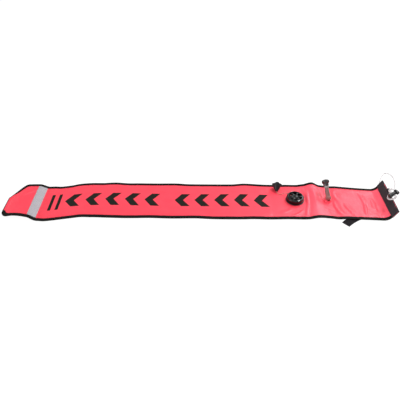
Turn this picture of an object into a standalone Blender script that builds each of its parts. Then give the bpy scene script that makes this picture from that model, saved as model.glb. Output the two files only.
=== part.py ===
"""Surface marker buoy, deflated and laid on its back panel, with its tip towards -X and its mouth towards +X.

The bag is cut from two coated panels. Every flat piece of it is placed by the same rule: s is the distance
along the cloth, 0 at the mouth's lip and negative towards the tip, t is the distance across it, and d is the
height of a layer above the underside of the stack. The function lie turns s, t and d into a point.
The dump valve, the oral inflator and the cord lock are modelled upright at their own empties.
"""

import math

import bmesh
import bpy
import numpy as np
from mathutils import Matrix, Vector

CLEAR = 0.0003  # between pieces that touch
SMALL = 0.0005  # step for the slope of the laid cloth
OVERCUT = 0.002  # how far a cutter runs past the wall that it cuts

# Bag
BAG_LENGTH = 1.204
BAG_WIDTH = 0.161
MOUTH_WIDTH = 0.1445
TAPER_FROM = 0.290  # from the lip to where the bag starts to narrow
TAPER_TO = 0.060
PANEL = 0.0006
TIP_WIDTH = 0.1455
TIP_FROM = 0.120  # from the tip to where the bag starts to narrow
TIP_CUT_LENGTH = 0.042
TIP_CUT_WIDTH = 0.062
TIP_ROUND = 0.004
TIP_RADIUS = 0.022

# Binding, hem and bands
BINDING_WIDTH = 0.0090
BINDING = 0.0006
SEAM_FLAT = 0.0025  # how far the raised edge runs on past the tape
SEAM_RAMP = 0.007  # from the tape's edge to where the panel is down again
HEM_WIDTH = 0.027
HEM = 0.0012
LIP_INSET = 0.0012  # how far the panels stop short of the hem's edge
MOUTH_GAPE = 0.0016
BAFFLE_LENGTH = 0.100
BAFFLE = 0.0005
BAND_WIDTH = 0.022
BAND_FROM_TIP = 0.082
BAND = 0.0004

# How the bag lies
CURL_RADIUS = 0.025
CURL_ANGLE = math.radians(65)
TIP_LIFT = 0.014
TIP_SAG = 0.006
LIFT_RUN = 0.028
BUCKLE_HEIGHT = 0.009
BUCKLE_FROM_LIP = 0.242
BUCKLE_HALF = 0.027
AIR = 0.0012  # air left between the panels
FOLD_HEIGHT = 0.0016
FOLD_SPACING = 0.310
SEAT_RAMP = 0.008  # over which the cloth goes flat round a welded foot
SNAKE = (  # distance before the lip, sideways shift of the middle line
    (1.204, -0.0135), (1.144, -0.0145), (1.084, -0.0187), (1.004, -0.0050), (0.934, 0.0008), (0.854, 0.0011),
    (0.734, -0.0024), (0.604, -0.0048), (0.464, -0.0049), (0.374, -0.0080), (0.294, -0.0086), (0.243, -0.0042),
    (0.204, -0.0098), (0.154, -0.0148), (0.049, -0.0242), (0.0, -0.0262),
)  # fmt: skip

# Storage strap
STRAP_WIDTH = 0.025
STRAP = 0.0015
STRAP_LENGTH = 0.118
STRAP_ANGLES = (math.radians(44), math.radians(8))  # at the cut end and at the sewn end
STRAP_END = (-0.1725, -0.1115)
STRAP_LIFT_RUN = 0.020
STRAP_LIFT_FROM_LIP = 0.164

# Dump valve
VALVE_FROM_LIP = 0.3054
VALVE_T = 0.0066
SEAT_RADIUS = 0.032
FLANGE_RADIUS = 0.0285
FLANGE = 0.0012
GASKET = 0.0010
GASKET_WIDTH = 0.006
BODY_RADIUS = 0.0240
BODY_WALL = 0.0017
BODY_FLOOR = 0.0015
BODY_HEIGHT = 0.0088
SEAT_HOLE = 0.0090
SEAT_LIP = 0.0010
HUB_RADIUS = 0.0034
ARM_WIDTH = 0.0026
DISC_RADIUS = 0.0120
DISC = 0.0014
DISC_RIM = 0.0030
STEM_RADIUS = 0.0017
SEAL = 0.0012
CAP_WALL = 0.0021
CAP_TOP = 0.0018
CAP_HEIGHT = 0.0136
CAP_CHAMFER = 0.0022
CAP_RIDGE = 0.0008
VENT_INNER = 0.0070
VENT_OUTER = 0.0205
VENT_COUNT = 6
SPOKE_WIDTH = 0.0042
VALVE_LIFT = 0.0030
VALVE_SPRING = (0.0045, 0.0085)  # radius at the poppet and at the cap, so that it shuts flat
SPRING_WIRE = 0.0004
CURL_POINTS = 9

# Pull cord and knob
CORD_RADIUS = 0.0010
CORD_AZIMUTH = math.radians(138)
CORD_PULL = 0.0080
KNOB_LENGTH = 0.027
KNOB_RADIUS = 0.0155
KNOB_NECK = 0.0042
KNOB_BORE_DEPTH = 0.010
KNOB_LOBES = 4
KNOB_TIP = (-0.0532, 0.0364, 0.0052)  # from the foot of the valve
KNOB_HEAD = (-0.0498, 0.0609, 0.0164)
CORD_ROUTE = (  # from the foot of the valve, in metres, chosen by eye
    (-0.0265, 0.0232, 0.0090), (-0.0310, 0.0252, 0.0058), (-0.0372, 0.0250, 0.0027), (-0.0440, 0.0252, 0.0020),
    (-0.0503, 0.0290, 0.0028),
)  # fmt: skip

# Oral inflator
INFLATOR_FROM_LIP = 0.2024
INFLATOR_T = 0.0038
INFLATOR_AZIMUTH = math.radians(101)
INFLATOR_ELEVATION = math.radians(42)
BALL_RADIUS = 0.0088
SOCKET_RADIUS = 0.0125
SOCKET_RIM = 0.0050  # below the middle of the ball
TUBE_RADIUS = 0.0065
TUBE_FLARE = 0.0074
TUBE_BORE = 0.0046
TUBE_LENGTH = 0.0330
SLEEVE_BORE = 0.0032
SLEEVE_DEPTH = 0.0110
COLLAR_RADIUS = 0.0068
COLLAR = 0.0012
SLEEVE_TOP = 0.0130  # above the collar
SLEEVE_RADIUS = 0.0056
PUSH = 0.0035
MOUTH_RADIUS = 0.0120
MOUTH_FLUTES = 8
MOUTH_HEIGHT = 0.0212
MOUTH_BORE = 0.0036
SPIDER = 0.0015
SPIDER_ARM = 0.0020
SPRING_ROOM = 0.0074
PIN_RADIUS = 0.0012
WASHER = 0.0008
INFLATOR_SPRING_RADIUS = 0.0044

# Mouth loop: the tab, the elastic and the cord lock, from the lip in front of the tab
TAB_T = 0.0185
TAB_WIDTH = 0.012
TAB = 0.0022
TAB_DEPTH = 0.014
TAB_BULGE = (0.0050, 0.0030)
TAB_RISE = 0.0045
TAB_POCKET = 0.005
ELASTIC_RADIUS = 0.0016
STRAND_GAP = 0.0006
LOCK_EYE = (0.0008, -0.0284, 0.0129)
LOCK_YAW = math.radians(28)
LOCK_PITCH = math.radians(11)
LOCK_RADIUS = 0.0062
LOCK_FLOOR = 0.0020
LOCK_WEB = 0.0013  # plunger wall between its spring and the cords
LOCK_NOSE = 0.0020  # barrel past the cords
LOCK_RIBS = 4
RIB_DEPTH = 0.0006
LOCK_BORE = 0.0040
LOCK_TRAVEL = 0.0050
THUMB_WIDTH = 0.0170
THUMB_DEPTH = 0.0120
THUMB = 0.0060
LOCK_SPRING_RADIUS = 0.0026
PAIR_IN = (  # middle of the two strands from the tab to the lock, in millimetres from the lip
    (0.9, -6.3, 4.5), (0.9, -11.5, 4.8), (-2.5, -19.0, 4.9), (-8.2, -25.5, 3.0), (-12.0, -32.8, 0.9),
    (-10.4, -39.6, 2.2), (-4.6, -43.4, 6.2), (2.2, -43.6, 10.4), (5.9, -38.6, 12.9),
)  # fmt: skip
PAIR_OUT = (  # and from the lock down towards the floor
    (-4.7, -17.5, 12.9), (-3.6, -11.5, 12.5), (1.5, -5.0, 11.4), (8.9, 2.5, 8.0), (17.9, 13.0, -0.8),
    (27.0, 24.5, -12.0),
)  # fmt: skip
LOOP = (  # the open loop on the floor, right strand first
    (37.0, 37.0, -23.5), (46.5, 51.0, -34.5), (55.5, 67.0, -39.6), (62.5, 85.0, -39.9), (67.0, 103.0, -39.9),
    (68.5, 121.0, -39.9), (64.5, 136.0, -39.9), (55.0, 144.0, -39.9), (43.0, 140.5, -39.9),
    (32.0, 126.5, -39.9), (22.0, 110.0, -39.9), (14.5, 97.0, -39.9), (11.5, 84.5, -39.9),
    (14.5, 72.0, -39.7), (21.5, 61.0, -38.0), (28.5, 50.0, -32.0), (31.5, 38.5, -23.0),
)  # fmt: skip

COLOURS = {  # linear colour, roughness
    "coral_cloth": ((0.95, 0.08, 0.13), 0.55),
    "black_tape": ((0.012, 0.012, 0.011), 0.80),
    "silver_band": ((0.50, 0.50, 0.52), 0.35),
    "black_webbing": ((0.022, 0.020, 0.021), 0.85),
    "black_plastic": ((0.010, 0.010, 0.011), 0.25),
    "black_rubber": ((0.015, 0.015, 0.016), 0.60),
    "spring_steel": ((0.55, 0.55, 0.56), 0.30),
    "smoke_tube": ((0.33, 0.24, 0.24), 0.35),
    "grey_plastic": ((0.45, 0.45, 0.46), 0.40),
    "pull_cord": ((0.42, 0.22, 0.20), 0.80),
    "pale_elastic": ((0.62, 0.58, 0.58), 0.75),
}


def clear_scene():
    for obj in list(bpy.data.objects):
        bpy.data.objects.remove(obj)


def collection(name):
    made = bpy.data.collections.new(name)
    bpy.context.scene.collection.children.link(made)
    return made


def material(name):
    colour, roughness = COLOURS[name]
    made = bpy.data.materials.get(name) or bpy.data.materials.new(name)
    made.use_nodes = True
    shader = made.node_tree.nodes["Principled BSDF"]
    shader.inputs["Base Color"].default_value = (*colour, 1)
    shader.inputs["Roughness"].default_value = roughness
    shader.inputs["Metallic"].default_value = 1.0 if name == "spring_steel" else 0.0
    return made


def add(name, data, look, parent):
    obj = bpy.data.objects.new(name, data)
    PARTS.objects.link(obj)
    obj.parent = parent
    data.materials.append(material(look))
    return obj


def cutter(name, data, parent):
    obj = bpy.data.objects.new(name, data)
    CUTTERS.objects.link(obj)
    obj.parent = parent
    obj.hide_render = True
    obj.display_type = "WIRE"
    return obj


def empty(name, parent, place, turn=None):
    obj = bpy.data.objects.new(name, None)
    PARTS.objects.link(obj)
    obj.parent = parent
    obj.location = place
    if turn is not None:
        obj.rotation_euler = turn.to_euler()
    return obj


def smooth(low, high, value):
    share = min(max((value - low) / (high - low), 0.0), 1.0)
    return share * share * (3 - 2 * share)


# The laid bag


def middle(s):
    """Sideways shift of the bag's middle line, on a smooth curve through the snake's points."""
    return float(np.interp(s, SNAKE_S, SNAKE_Y))


def side_view(s):
    """x and height of the stack's underside."""
    arc = -(HEM_WIDTH + CURL_RADIUS * CURL_ANGLE)
    turned = min(max((s - arc) / CURL_RADIUS, 0.0), CURL_ANGLE)
    past = max(s + HEM_WIDTH, 0.0)
    x = min(s, arc) + CURL_RADIUS * math.sin(turned) + past * math.cos(CURL_ANGLE)
    z = CURL_RADIUS * (1 - math.cos(turned)) + past * math.sin(CURL_ANGLE)
    from_tip = s + BAG_LENGTH
    band_end = BAND_FROM_TIP + BAND_WIDTH
    z += TIP_LIFT * smooth(band_end + SEAM_RAMP, band_end + SEAM_RAMP - LIFT_RUN, from_tip)
    z -= TIP_SAG * smooth(BAND_FROM_TIP / 2, 0, from_tip)
    off = (s + BUCKLE_FROM_LIP) / BUCKLE_HALF
    z += BUCKLE_HEIGHT * math.cos(math.pi / 2 * off) ** 2 if abs(off) < 1 else 0
    z += (STRAP + 2 * CLEAR) * smooth(-STRAP_LIFT_FROM_LIP - STRAP_LIFT_RUN, -STRAP_LIFT_FROM_LIP, s)
    return x, z


def lie(s, t, d):
    x, z = side_view(s)
    ahead = side_view(s + SMALL)
    behind = side_view(s - SMALL)
    along = Vector((ahead[0] - behind[0], ahead[1] - behind[1])).normalized()
    return Vector((x - d * along.y, middle(s) + t, z + d * along.x))


def half_width(s):
    to_mouth = MOUTH_WIDTH + (BAG_WIDTH - MOUTH_WIDTH) * smooth(-TAPER_TO, -TAPER_FROM, s)
    return (to_mouth + (TIP_WIDTH - BAG_WIDTH) * smooth(TIP_FROM, TIP_CUT_LENGTH, s + BAG_LENGTH)) / 2


def far_edge(s):
    past = TIP_CUT_WIDTH * (1 - max(s + BAG_LENGTH, 0.0) / TIP_CUT_LENGTH)
    return half_width(s) - TIP_ROUND * math.log1p(math.exp(past / TIP_ROUND))


def near_edge(s):
    short = TIP_RADIUS - min(max(s + BAG_LENGTH, 0.0), TIP_RADIUS)
    return -half_width(s) + TIP_RADIUS - math.sqrt(TIP_RADIUS**2 - short**2)


def lean(edge, s):
    """Cosine of the angle between an edge and the bag's length."""
    run = (edge(s + SMALL) - edge(s)) / SMALL
    return 1 / math.hypot(1, run)


def inset(s, t):
    """Distance of a point of the cloth from the bound edge."""
    return min((far_edge(s) - t) * lean(far_edge, s), (t - near_edge(s)) * lean(near_edge, s), s + BAG_LENGTH)


def open_share(s, t):
    """0 along the bound edge, 1 where the panels lie free."""
    return smooth(BINDING_WIDTH + SEAM_FLAT, BINDING_WIDTH + SEAM_RAMP, inset(s, t))


def back_under(s, t):
    return (BINDING + CLEAR) * (1 - open_share(s, t))


def knob_end():
    """Distance before the lip of the far side of the flat cloth under the valve, its cord and the knob."""
    return VALVE_FROM_LIP - KNOB_TIP[0] + KNOB_RADIUS + CORD_PULL


def gap(s, t):
    """Room between the panels: air and low folds, the baffles and the gaping mouth."""
    baffle_end = -BAFFLE_LENGTH - SEAM_RAMP
    valve_end = VALVE_FROM_LIP - SEAT_RADIUS
    calm = max(
        smooth(-knob_end() - SEAT_RAMP, -knob_end(), s) * smooth(-valve_end + SEAT_RAMP, -valve_end, s),
        1 - smooth(SOCKET_RADIUS, SOCKET_RADIUS + SEAT_RAMP, abs(s + INFLATOR_FROM_LIP)),
        smooth(baffle_end - SEAT_RAMP, baffle_end, s),
    )
    along = math.sin(2 * math.pi * s / FOLD_SPACING)
    across = math.cos(2 * math.pi * t / BAG_WIDTH)
    folds = FOLD_HEIGHT * (1 + along * across) / 2 * (1 - calm)
    baffled = (2 * BAFFLE + 2 * CLEAR) * smooth(baffle_end - SEAT_RAMP, baffle_end, s)
    gape = MOUTH_GAPE * smooth(-BAFFLE_LENGTH / 2, 0, s)
    return (max(AIR + folds, baffled) + gape) * open_share(s, t)


def back_over(s, t):
    return back_under(s, t) + PANEL


def front_under(s, t):
    return back_over(s, t) + CLEAR + gap(s, t)


def front_over(s, t):
    return front_under(s, t) + PANEL


def steps(*stops):
    """Stations along the bag: each stop is a distance before the lip and the spacing on the way to the next."""
    found = []
    for (start, spacing), (end, _) in zip(stops, stops[1:]):
        count = max(round((start - end) / spacing), 1)
        found += [-(start + (end - start) * i / count) for i in range(count)]
    return found + [-stops[-1][0]]


def columns(s, inner):
    """Positions across the bag at one station: two close to each edge for the binding, and the rest even."""
    low, high = near_edge(s), far_edge(s)
    marks = (BINDING_WIDTH + SEAM_FLAT, BINDING_WIDTH + SEAM_RAMP)
    most = (high - low) * 0.3
    near = [low] + [low + min(m / lean(near_edge, s), most * m / marks[1]) for m in marks]
    far = [high] + [high - min(m / lean(far_edge, s), most * m / marks[1]) for m in marks]
    return near + list(np.linspace(near[-1], far[-1], inner + 2)[1:-1]) + far[::-1]


def shell(name, rows, thickness, look):
    """A piece of sheet: a grid through rows of points, thickened towards its upper side."""
    across = len(rows[0])
    mesh = bpy.data.meshes.new(name)
    grid = bmesh.new()
    bmesh.ops.create_grid(grid, x_segments=across - 1, y_segments=len(rows) - 1)
    grid.verts.ensure_lookup_table()
    for vertex, place in zip(grid.verts, [point for row in rows for point in row]):
        vertex.co = place
    bmesh.ops.reverse_faces(grid, faces=grid.faces)
    grid.to_mesh(mesh)
    grid.free()
    mesh.shade_smooth()
    obj = add(name, mesh, look, ROOT)
    wall = obj.modifiers.new("thickness", "SOLIDIFY")
    wall.thickness = thickness
    wall.offset = 1
    wall.use_even_offset = True
    return obj


def stations():
    """Stations from the tip to the lip, closest where the cloth bends."""
    tip = BAG_LENGTH
    band = tip - BAND_FROM_TIP
    past = band - BAND_WIDTH
    arc = HEM_WIDTH + CURL_RADIUS * CURL_ANGLE
    return steps(
        (tip, 0.0055), (tip - TIP_CUT_LENGTH - 3 * TIP_ROUND, 0.016), (band, BAND_WIDTH / 6), (past, SEAM_RAMP / 2),
        (past - SEAM_RAMP, 0.045), (knob_end() + SEAT_RAMP, SEAT_RAMP), (knob_end(), 0.036),
        (VALVE_FROM_LIP - SEAT_RADIUS, 0.009), (BUCKLE_FROM_LIP + BUCKLE_HALF, 0.008),
        (INFLATOR_FROM_LIP + SOCKET_RADIUS, 0.016), (INFLATOR_FROM_LIP - SOCKET_RADIUS, 0.011),
        (arc, CURL_RADIUS * CURL_ANGLE / 6), (HEM_WIDTH + SEAM_RAMP, SEAM_RAMP), (HEM_WIDTH, 0.0135), (0, 0.01),
    )  # fmt: skip


def panel(name, under, inner):
    rows = [[lie(s, t, under(s, t)) for t in columns(s, inner)] for s in [*STATIONS[:-1], -LIP_INSET]]
    return shell(name, rows, PANEL, "coral_cloth")


def cut(obj, tool):
    hole = obj.modifiers.new("cut", "BOOLEAN")
    hole.operation = "DIFFERENCE"
    hole.object = tool
    return hole


def unite(obj, other):
    joined = obj.modifiers.new("join", "BOOLEAN")
    joined.operation = "UNION"
    joined.object = other
    return joined


def outline_walk():
    """Points of the bound edge, from the hem along the far edge, round the tip and back, with inward directions."""
    bound = [s for s in STATIONS if s <= -HEM_WIDTH - SEAM_RAMP / 2] + [-HEM_WIDTH - CLEAR]
    far = [(s, far_edge(s)) for s in reversed(bound)]
    near = [(s, near_edge(s)) for s in bound]
    end = [(-BAG_LENGTH, t) for t in np.linspace(far[-1][1], near[0][1], 6)[1:-1]]
    points = far + end + near
    inward = []
    for i, point in enumerate(points):
        before = points[max(i - 1, 0)]
        after = points[min(i + 1, len(points) - 1)]
        run = Vector((after[0] - before[0], after[1] - before[1])).normalized()
        inward.append(Vector((-run.y, run.x)))
    inward[0] = inward[-1] * -1
    inward[0].x = inward[-1].x = 0
    return points, inward


def edge_binding():
    """Tape folded over the bound edge, stood off the panels by the clearance."""
    top = 2 * BINDING + 2 * PANEL + 3 * CLEAR
    points, inward = outline_walk()
    rows = []
    for (s, t), into in zip(points, inward):
        across = (BINDING_WIDTH, BINDING_WIDTH / 2, -(CLEAR + BINDING))
        section = [(w, 0) for w in across] + [(w, top) for w in reversed(across)]
        rows.append([lie(s + into.x * w, t + into.y * w, d) for w, d in section])
    obj = shell("edge_binding", rows, BINDING, "black_tape")
    obj.modifiers["thickness"].offset = -1
    return obj


def reflective_band(name, under, thickness):
    start = BAND_FROM_TIP - BAG_LENGTH
    rows = []
    for s in [s for s in STATIONS if start - SMALL < s < start + BAND_WIDTH + SMALL]:
        side = BINDING_WIDTH + CLEAR
        low, high = near_edge(s) + side, far_edge(s) - side
        across = [low, low + SEAM_RAMP, *np.linspace(low, high, 7)[1:-1], high - SEAM_RAMP, high]
        rows.append([lie(s, t, under(s, t)) for t in across])
    return shell(name, rows, thickness, "silver_band")


def hem(name, under):
    rows = []
    side = CLEAR + BINDING
    for s in [s for s in STATIONS if s > -HEM_WIDTH - SEAM_RAMP / 2]:
        across = columns(s, 5)
        rows.append([lie(s, t, under(s, t)) for t in [across[0] - side, *across[1:-1], across[-1] + side]])
    return shell(name, rows, HEM, "black_webbing")


def baffle(name, under):
    side = BINDING_WIDTH + SEAM_RAMP + 2 * CLEAR
    ends = [s for s in STATIONS if -BAFFLE_LENGTH < s < -TAB_DEPTH - CLEAR]
    rows = []
    for s in [-BAFFLE_LENGTH, *ends, -TAB_DEPTH - 2 * CLEAR]:
        across = np.linspace(near_edge(s) + side, far_edge(s) - side, 7)
        rows.append([lie(s, t, under(s, t)) for t in across])
    return shell(name, rows, BAFFLE, "coral_cloth")


def storage_strap():
    """Webbing strap in a flat curve from its cut end to its sewn end under the back panel."""
    start, end = STRAP_ANGLES
    bend = STRAP_LENGTH / (start - end)
    rows = []
    for share in np.linspace(0, 1, 9):
        turned = start + (end - start) * share
        run = Vector((math.sin(start) - math.sin(turned), math.cos(turned) - math.cos(start)))
        spot = Vector(STRAP_END) + bend * run
        across = Vector((-math.sin(turned), math.cos(turned)))
        row = [spot + across * STRAP_WIDTH * side for side in (-0.5, 0, 0.5)]
        rows.append([Vector((p.x, p.y, CLEAR * smooth(0.5, 1, share))) for p in row])
    return shell("storage_strap", rows, STRAP, "black_webbing")


# Turned, bent and cut pieces


def lathe(name, profile, segments, look=None, parent=None):
    """Turns a closed profile of (radius, height) points round Z; an open one starts and ends on the axis."""
    area = sum(a[0] * b[1] - b[0] * a[1] for a, b in zip(profile, [*profile[1:], profile[0]]))
    points = profile if area < 0 else profile[::-1]
    on_axis = min(p[0] for p in profile) <= 0
    mesh = bpy.data.meshes.new(name)
    pairs = [(i, i + 1) for i in range(len(points) - 1)]
    if on_axis:
        while not (points[0][0] <= 0 and points[-1][0] <= 0):
            points = [*points[1:], points[0]]
    else:
        pairs.append((len(points) - 1, 0))
    mesh.from_pydata([(r, 0, z) for r, z in points], pairs, [])
    obj = add(name, mesh, look, parent) if look else cutter(name, mesh, parent)
    turn = obj.modifiers.new("turn", "SCREW")
    turn.steps = turn.render_steps = segments
    turn.use_merge_vertices = True
    turn.merge_threshold = 0.00001
    return obj


def meshed(obj):
    """The evaluated shape of an object as a plain mesh object of the same name, in place of it."""
    bpy.context.view_layer.update()
    found = obj.evaluated_get(bpy.context.evaluated_depsgraph_get())
    mesh = bpy.data.meshes.new_from_object(found)
    work = bmesh.new()
    work.from_mesh(mesh)
    bmesh.ops.remove_doubles(work, verts=work.verts, dist=0.000002)
    bmesh.ops.recalc_face_normals(work, faces=work.faces)
    work.to_mesh(mesh)
    work.free()
    name, parent, place = obj.name, obj.parent, obj.matrix_basis.copy()
    home = obj.users_collection[0]
    hidden = obj.hide_render
    bpy.data.objects.remove(obj)
    made = bpy.data.objects.new(name, mesh)
    home.objects.link(made)
    made.parent = parent
    made.matrix_basis = place
    made.hide_render = hidden
    made.display_type = "WIRE" if hidden else "TEXTURED"
    return made


def plate(name, outline, low, high, look=None, parent=None):
    """A flat outline in X and Y, given thickness from low to high."""
    curve = bpy.data.curves.new(name, "CURVE")
    curve.dimensions = "2D"
    curve.fill_mode = "BOTH"
    curve.extrude = (high - low) / 2
    line = curve.splines.new("POLY")
    line.points.add(len(outline) - 1)
    for point, (x, y) in zip(line.points, outline):
        point.co = (x, y, 0, 1)
    line.use_cyclic_u = True
    obj = add(name, curve, look, parent) if look else cutter(name, curve, parent)
    obj.location.z = (high + low) / 2
    return meshed(obj)


def round_route(points, spacing):
    """Evenly spaced points on a smooth curve through the points."""
    points = [Vector(p) for p in points]
    ends = [points[0] * 2 - points[1], *points, points[-1] * 2 - points[-2]]
    fine = []
    for a, b, c, d in zip(ends, ends[1:], ends[2:], ends[3:]):
        for i in range(24):
            u = i / 24
            bend = (2 * a - 5 * b + 4 * c - d) * u**2 + (3 * b - a - 3 * c + d) * u**3
            fine.append(0.5 * (2 * b + (c - a) * u + bend))
    fine.append(points[-1])
    walked = np.cumsum([0] + [(q - p).length for p, q in zip(fine, fine[1:])])
    count = max(round(walked[-1] / spacing), 2)
    marks = np.linspace(0, walked[-1], count + 1)
    return [Vector([np.interp(m, walked, [p[k] for p in fine]) for k in range(3)]) for m in marks]


def thinned(points, least):
    """The same route with the points left out that lie closer than least to the line past them."""
    kept = [points[0]]
    first = 0
    while first < len(points) - 1:
        last = first + 1
        for trial in range(first + 2, len(points)):
            run = points[trial] - points[first]
            off = max((p - points[first]).cross(run).length for p in points[first + 1 : trial]) / run.length
            if off > least:
                break
            last = trial
        kept.append(points[last])
        first = last
    return kept


def wire(name, points, radius, look, parent, sides=2):
    curve = bpy.data.curves.new(name, "CURVE")
    curve.dimensions = "3D"
    curve.bevel_depth = radius
    curve.bevel_resolution = sides
    curve.use_fill_caps = True
    line = curve.splines.new("POLY")
    line.points.add(len(points) - 1)
    for point, place in zip(line.points, points):
        point.co = (*place, 1)
    return add(name, curve, look, parent)


def spring(name, radii, low, high, turns, parent):
    """A compression spring round Z, one unbroken wire, with its radius at the low and at the high end."""
    count = turns * CURL_POINTS
    points = []
    for i in range(count + 1):
        angle = 2 * math.pi * i / CURL_POINTS
        radius = radii[0] + (radii[1] - radii[0]) * i / count
        height = low + SPRING_WIRE + (high - low - 2 * SPRING_WIRE) * i / count
        points.append(Vector((radius * math.cos(angle), radius * math.sin(angle), height)))
    half = CURL_POINTS // 2
    least = min((a - b).length for i, a in enumerate(points) for b in points[i + half + 1 :])
    print(f"{name}: least gap to itself {(least - 2 * SPRING_WIRE) * 1000:.2f} mm")
    return wire(name, points, SPRING_WIRE, "spring_steel", parent, sides=1)


def block(name, low, high, parent):
    """A box-shaped cutter between two corners."""
    mesh = bpy.data.meshes.new(name)
    work = bmesh.new()
    bmesh.ops.create_cube(work, size=1)
    for vertex in work.verts:
        vertex.co = [a + (b - a) * (part + 0.5) for a, b, part in zip(low, high, vertex.co)]
    work.to_mesh(mesh)
    work.free()
    return cutter(name, mesh, parent)


def ring(inner, outer, low, high):
    return [(inner, low), (outer, low), (outer, high), (inner, high)]


def sector(inner, outer, centre_angle, count, web):
    """Outline of one opening between spokes of even width."""
    half = math.pi / count
    points = []
    for radius, sign in ((outer, 1), (inner, -1)):
        reach = half - math.asin(min(web / 2 / radius, math.sin(half) * 0.98))
        points += [
            (radius * math.cos(centre_angle + sign * reach * k), radius * math.sin(centre_angle + sign * reach * k))
            for k in (-1, -0.5, 0, 0.5, 1)
        ]
    return points


# Dump valve


def valve_heights():
    """Heights in the valve above its foot, which is the clearance above the front panel."""
    h = {"gasket": FLANGE + CLEAR}
    h["body"] = h["gasket"] + GASKET + CLEAR
    h["seat"] = h["body"] + BODY_FLOOR + SEAT_LIP
    h["seal"] = h["seat"] + CLEAR
    h["disc"] = h["seal"] + SEAL + CLEAR
    h["cap"] = FLANGE + 3 * CLEAR
    h["roof"] = h["cap"] + CAP_HEIGHT - CAP_TOP
    h["top"] = h["cap"] + CAP_HEIGHT
    h["cord"] = h["disc"] + DISC_RIM - CORD_RADIUS
    return h


def dump_valve():
    h = valve_heights()
    cap_radius = BODY_RADIUS + CLEAR + CAP_WALL
    flange_bore = BODY_RADIUS - GASKET_WIDTH
    lathe("valve_flange", ring(flange_bore, FLANGE_RADIUS, 0, FLANGE), 40, "black_rubber", VALVE)
    gasket = ring(flange_bore, BODY_RADIUS, h["gasket"], h["gasket"] + GASKET)
    lathe("valve_gasket", gasket, 32, "black_rubber", VALVE)

    floor = h["body"] + BODY_FLOOR
    inner = BODY_RADIUS - BODY_WALL
    body = lathe("valve_body", [
        (SEAT_HOLE, h["body"]), (BODY_RADIUS, h["body"]), (BODY_RADIUS, h["body"] + BODY_HEIGHT),
        (inner, h["body"] + BODY_HEIGHT), (inner, floor), (SEAT_HOLE + SEAT_LIP, floor),
        (SEAT_HOLE + SEAT_LIP, h["seat"]), (SEAT_HOLE, h["seat"]),
    ], 32, "black_plastic", VALVE)  # fmt: skip
    unite(body, lathe("valve_hub", ring(0, HUB_RADIUS, h["body"], floor), 16, None, VALVE))
    reach, side = SEAT_HOLE + SEAT_LIP / 2, ARM_WIDTH / 2
    for i in range(3):
        spoke = plate(f"valve_arm_{i}", [(0, -side), (reach, -side), (reach, side), (0, side)],
                      h["body"] + CLEAR / 2, floor - CLEAR / 2, None, VALVE)  # fmt: skip
        spoke.rotation_euler.z = 2 * math.pi * i / 3
        unite(body, spoke)
    bore = STEM_RADIUS + CLEAR
    cut(body, lathe("stem_bore", [(0, 0), (bore, 0), (bore, h["seat"]), (0, h["seat"])], 16, None, VALVE))

    port = cord_port(h["cord"])
    cut(body, port)
    top = [
        (0, h["roof"]), (inner, h["roof"]), (BODY_RADIUS + CLEAR, h["roof"] - CLEAR), (BODY_RADIUS + CLEAR, h["cap"]),
        (cap_radius, h["cap"]), (cap_radius, h["top"] - CAP_CHAMFER), (cap_radius - CAP_CHAMFER, h["top"]),
        (VENT_OUTER + 2 * CLEAR, h["top"]), (VENT_OUTER - CAP_RIDGE, h["top"] - CAP_RIDGE),
        (VENT_INNER, h["top"] - CAP_RIDGE), (VENT_INNER - CAP_RIDGE, h["top"]), (0, h["top"] + CAP_RIDGE / 2),
    ]  # fmt: skip
    cap = lathe("valve_cap", top, 32, "black_plastic", VALVE)
    cut(cap, port)
    for i in range(VENT_COUNT):
        angle = 2 * math.pi * (i + 0.5) / VENT_COUNT
        outline = sector(VENT_INNER, VENT_OUTER, angle, VENT_COUNT, SPOKE_WIDTH)
        cut(cap, plate(f"vent_{i}", outline, h["roof"] - OVERCUT, h["top"] + OVERCUT, None, VALVE))
    guide = lathe(
        "stem_guide", [(0, h["roof"] - OVERCUT), (bore, h["roof"] - OVERCUT), (bore, h["top"] - CAP_RIDGE),
                       (0, h["top"] - CAP_RIDGE)], 16, None, VALVE,
    )  # fmt: skip
    cut(cap, guide)

    stem_top = h["top"] - CAP_RIDGE - VALVE_LIFT - CLEAR
    stem_foot = h["body"] + BODY_FLOOR / 2 - VALVE_LIFT
    disc = h["disc"]
    lathe("valve_disc", [
        (0, stem_foot), (STEM_RADIUS, stem_foot), (STEM_RADIUS, disc), (DISC_RADIUS, disc),
        (DISC_RADIUS, disc + DISC_RIM), (DISC_RADIUS - BODY_FLOOR, disc + DISC_RIM),
        (DISC_RADIUS - BODY_FLOOR, disc + DISC), (STEM_RADIUS, disc + DISC), (STEM_RADIUS, stem_top), (0, stem_top),
    ], 32, "black_plastic", VALVE)  # fmt: skip
    lathe("valve_seal", ring(HUB_RADIUS, DISC_RADIUS - CLEAR, h["seal"], h["seal"] + SEAL), 24, "black_rubber", VALVE)
    spring("valve_spring", VALVE_SPRING, disc + DISC + CLEAR, h["roof"] - CLEAR, 4, VALVE)
    return h


def cord_port(height):
    """Drill for the side port that the pull cord leaves by."""
    reach = BODY_RADIUS + CAP_WALL + OVERCUT
    start = DISC_RADIUS + OVERCUT
    bore = CORD_RADIUS + 2 * CLEAR
    drill = lathe("cord_port", [(0, start), (bore, start), (bore, reach), (0, reach)], 12, None, VALVE)
    drill.rotation_euler = (0, math.pi / 2, CORD_AZIMUTH)
    drill.location.z = height
    return drill


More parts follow.
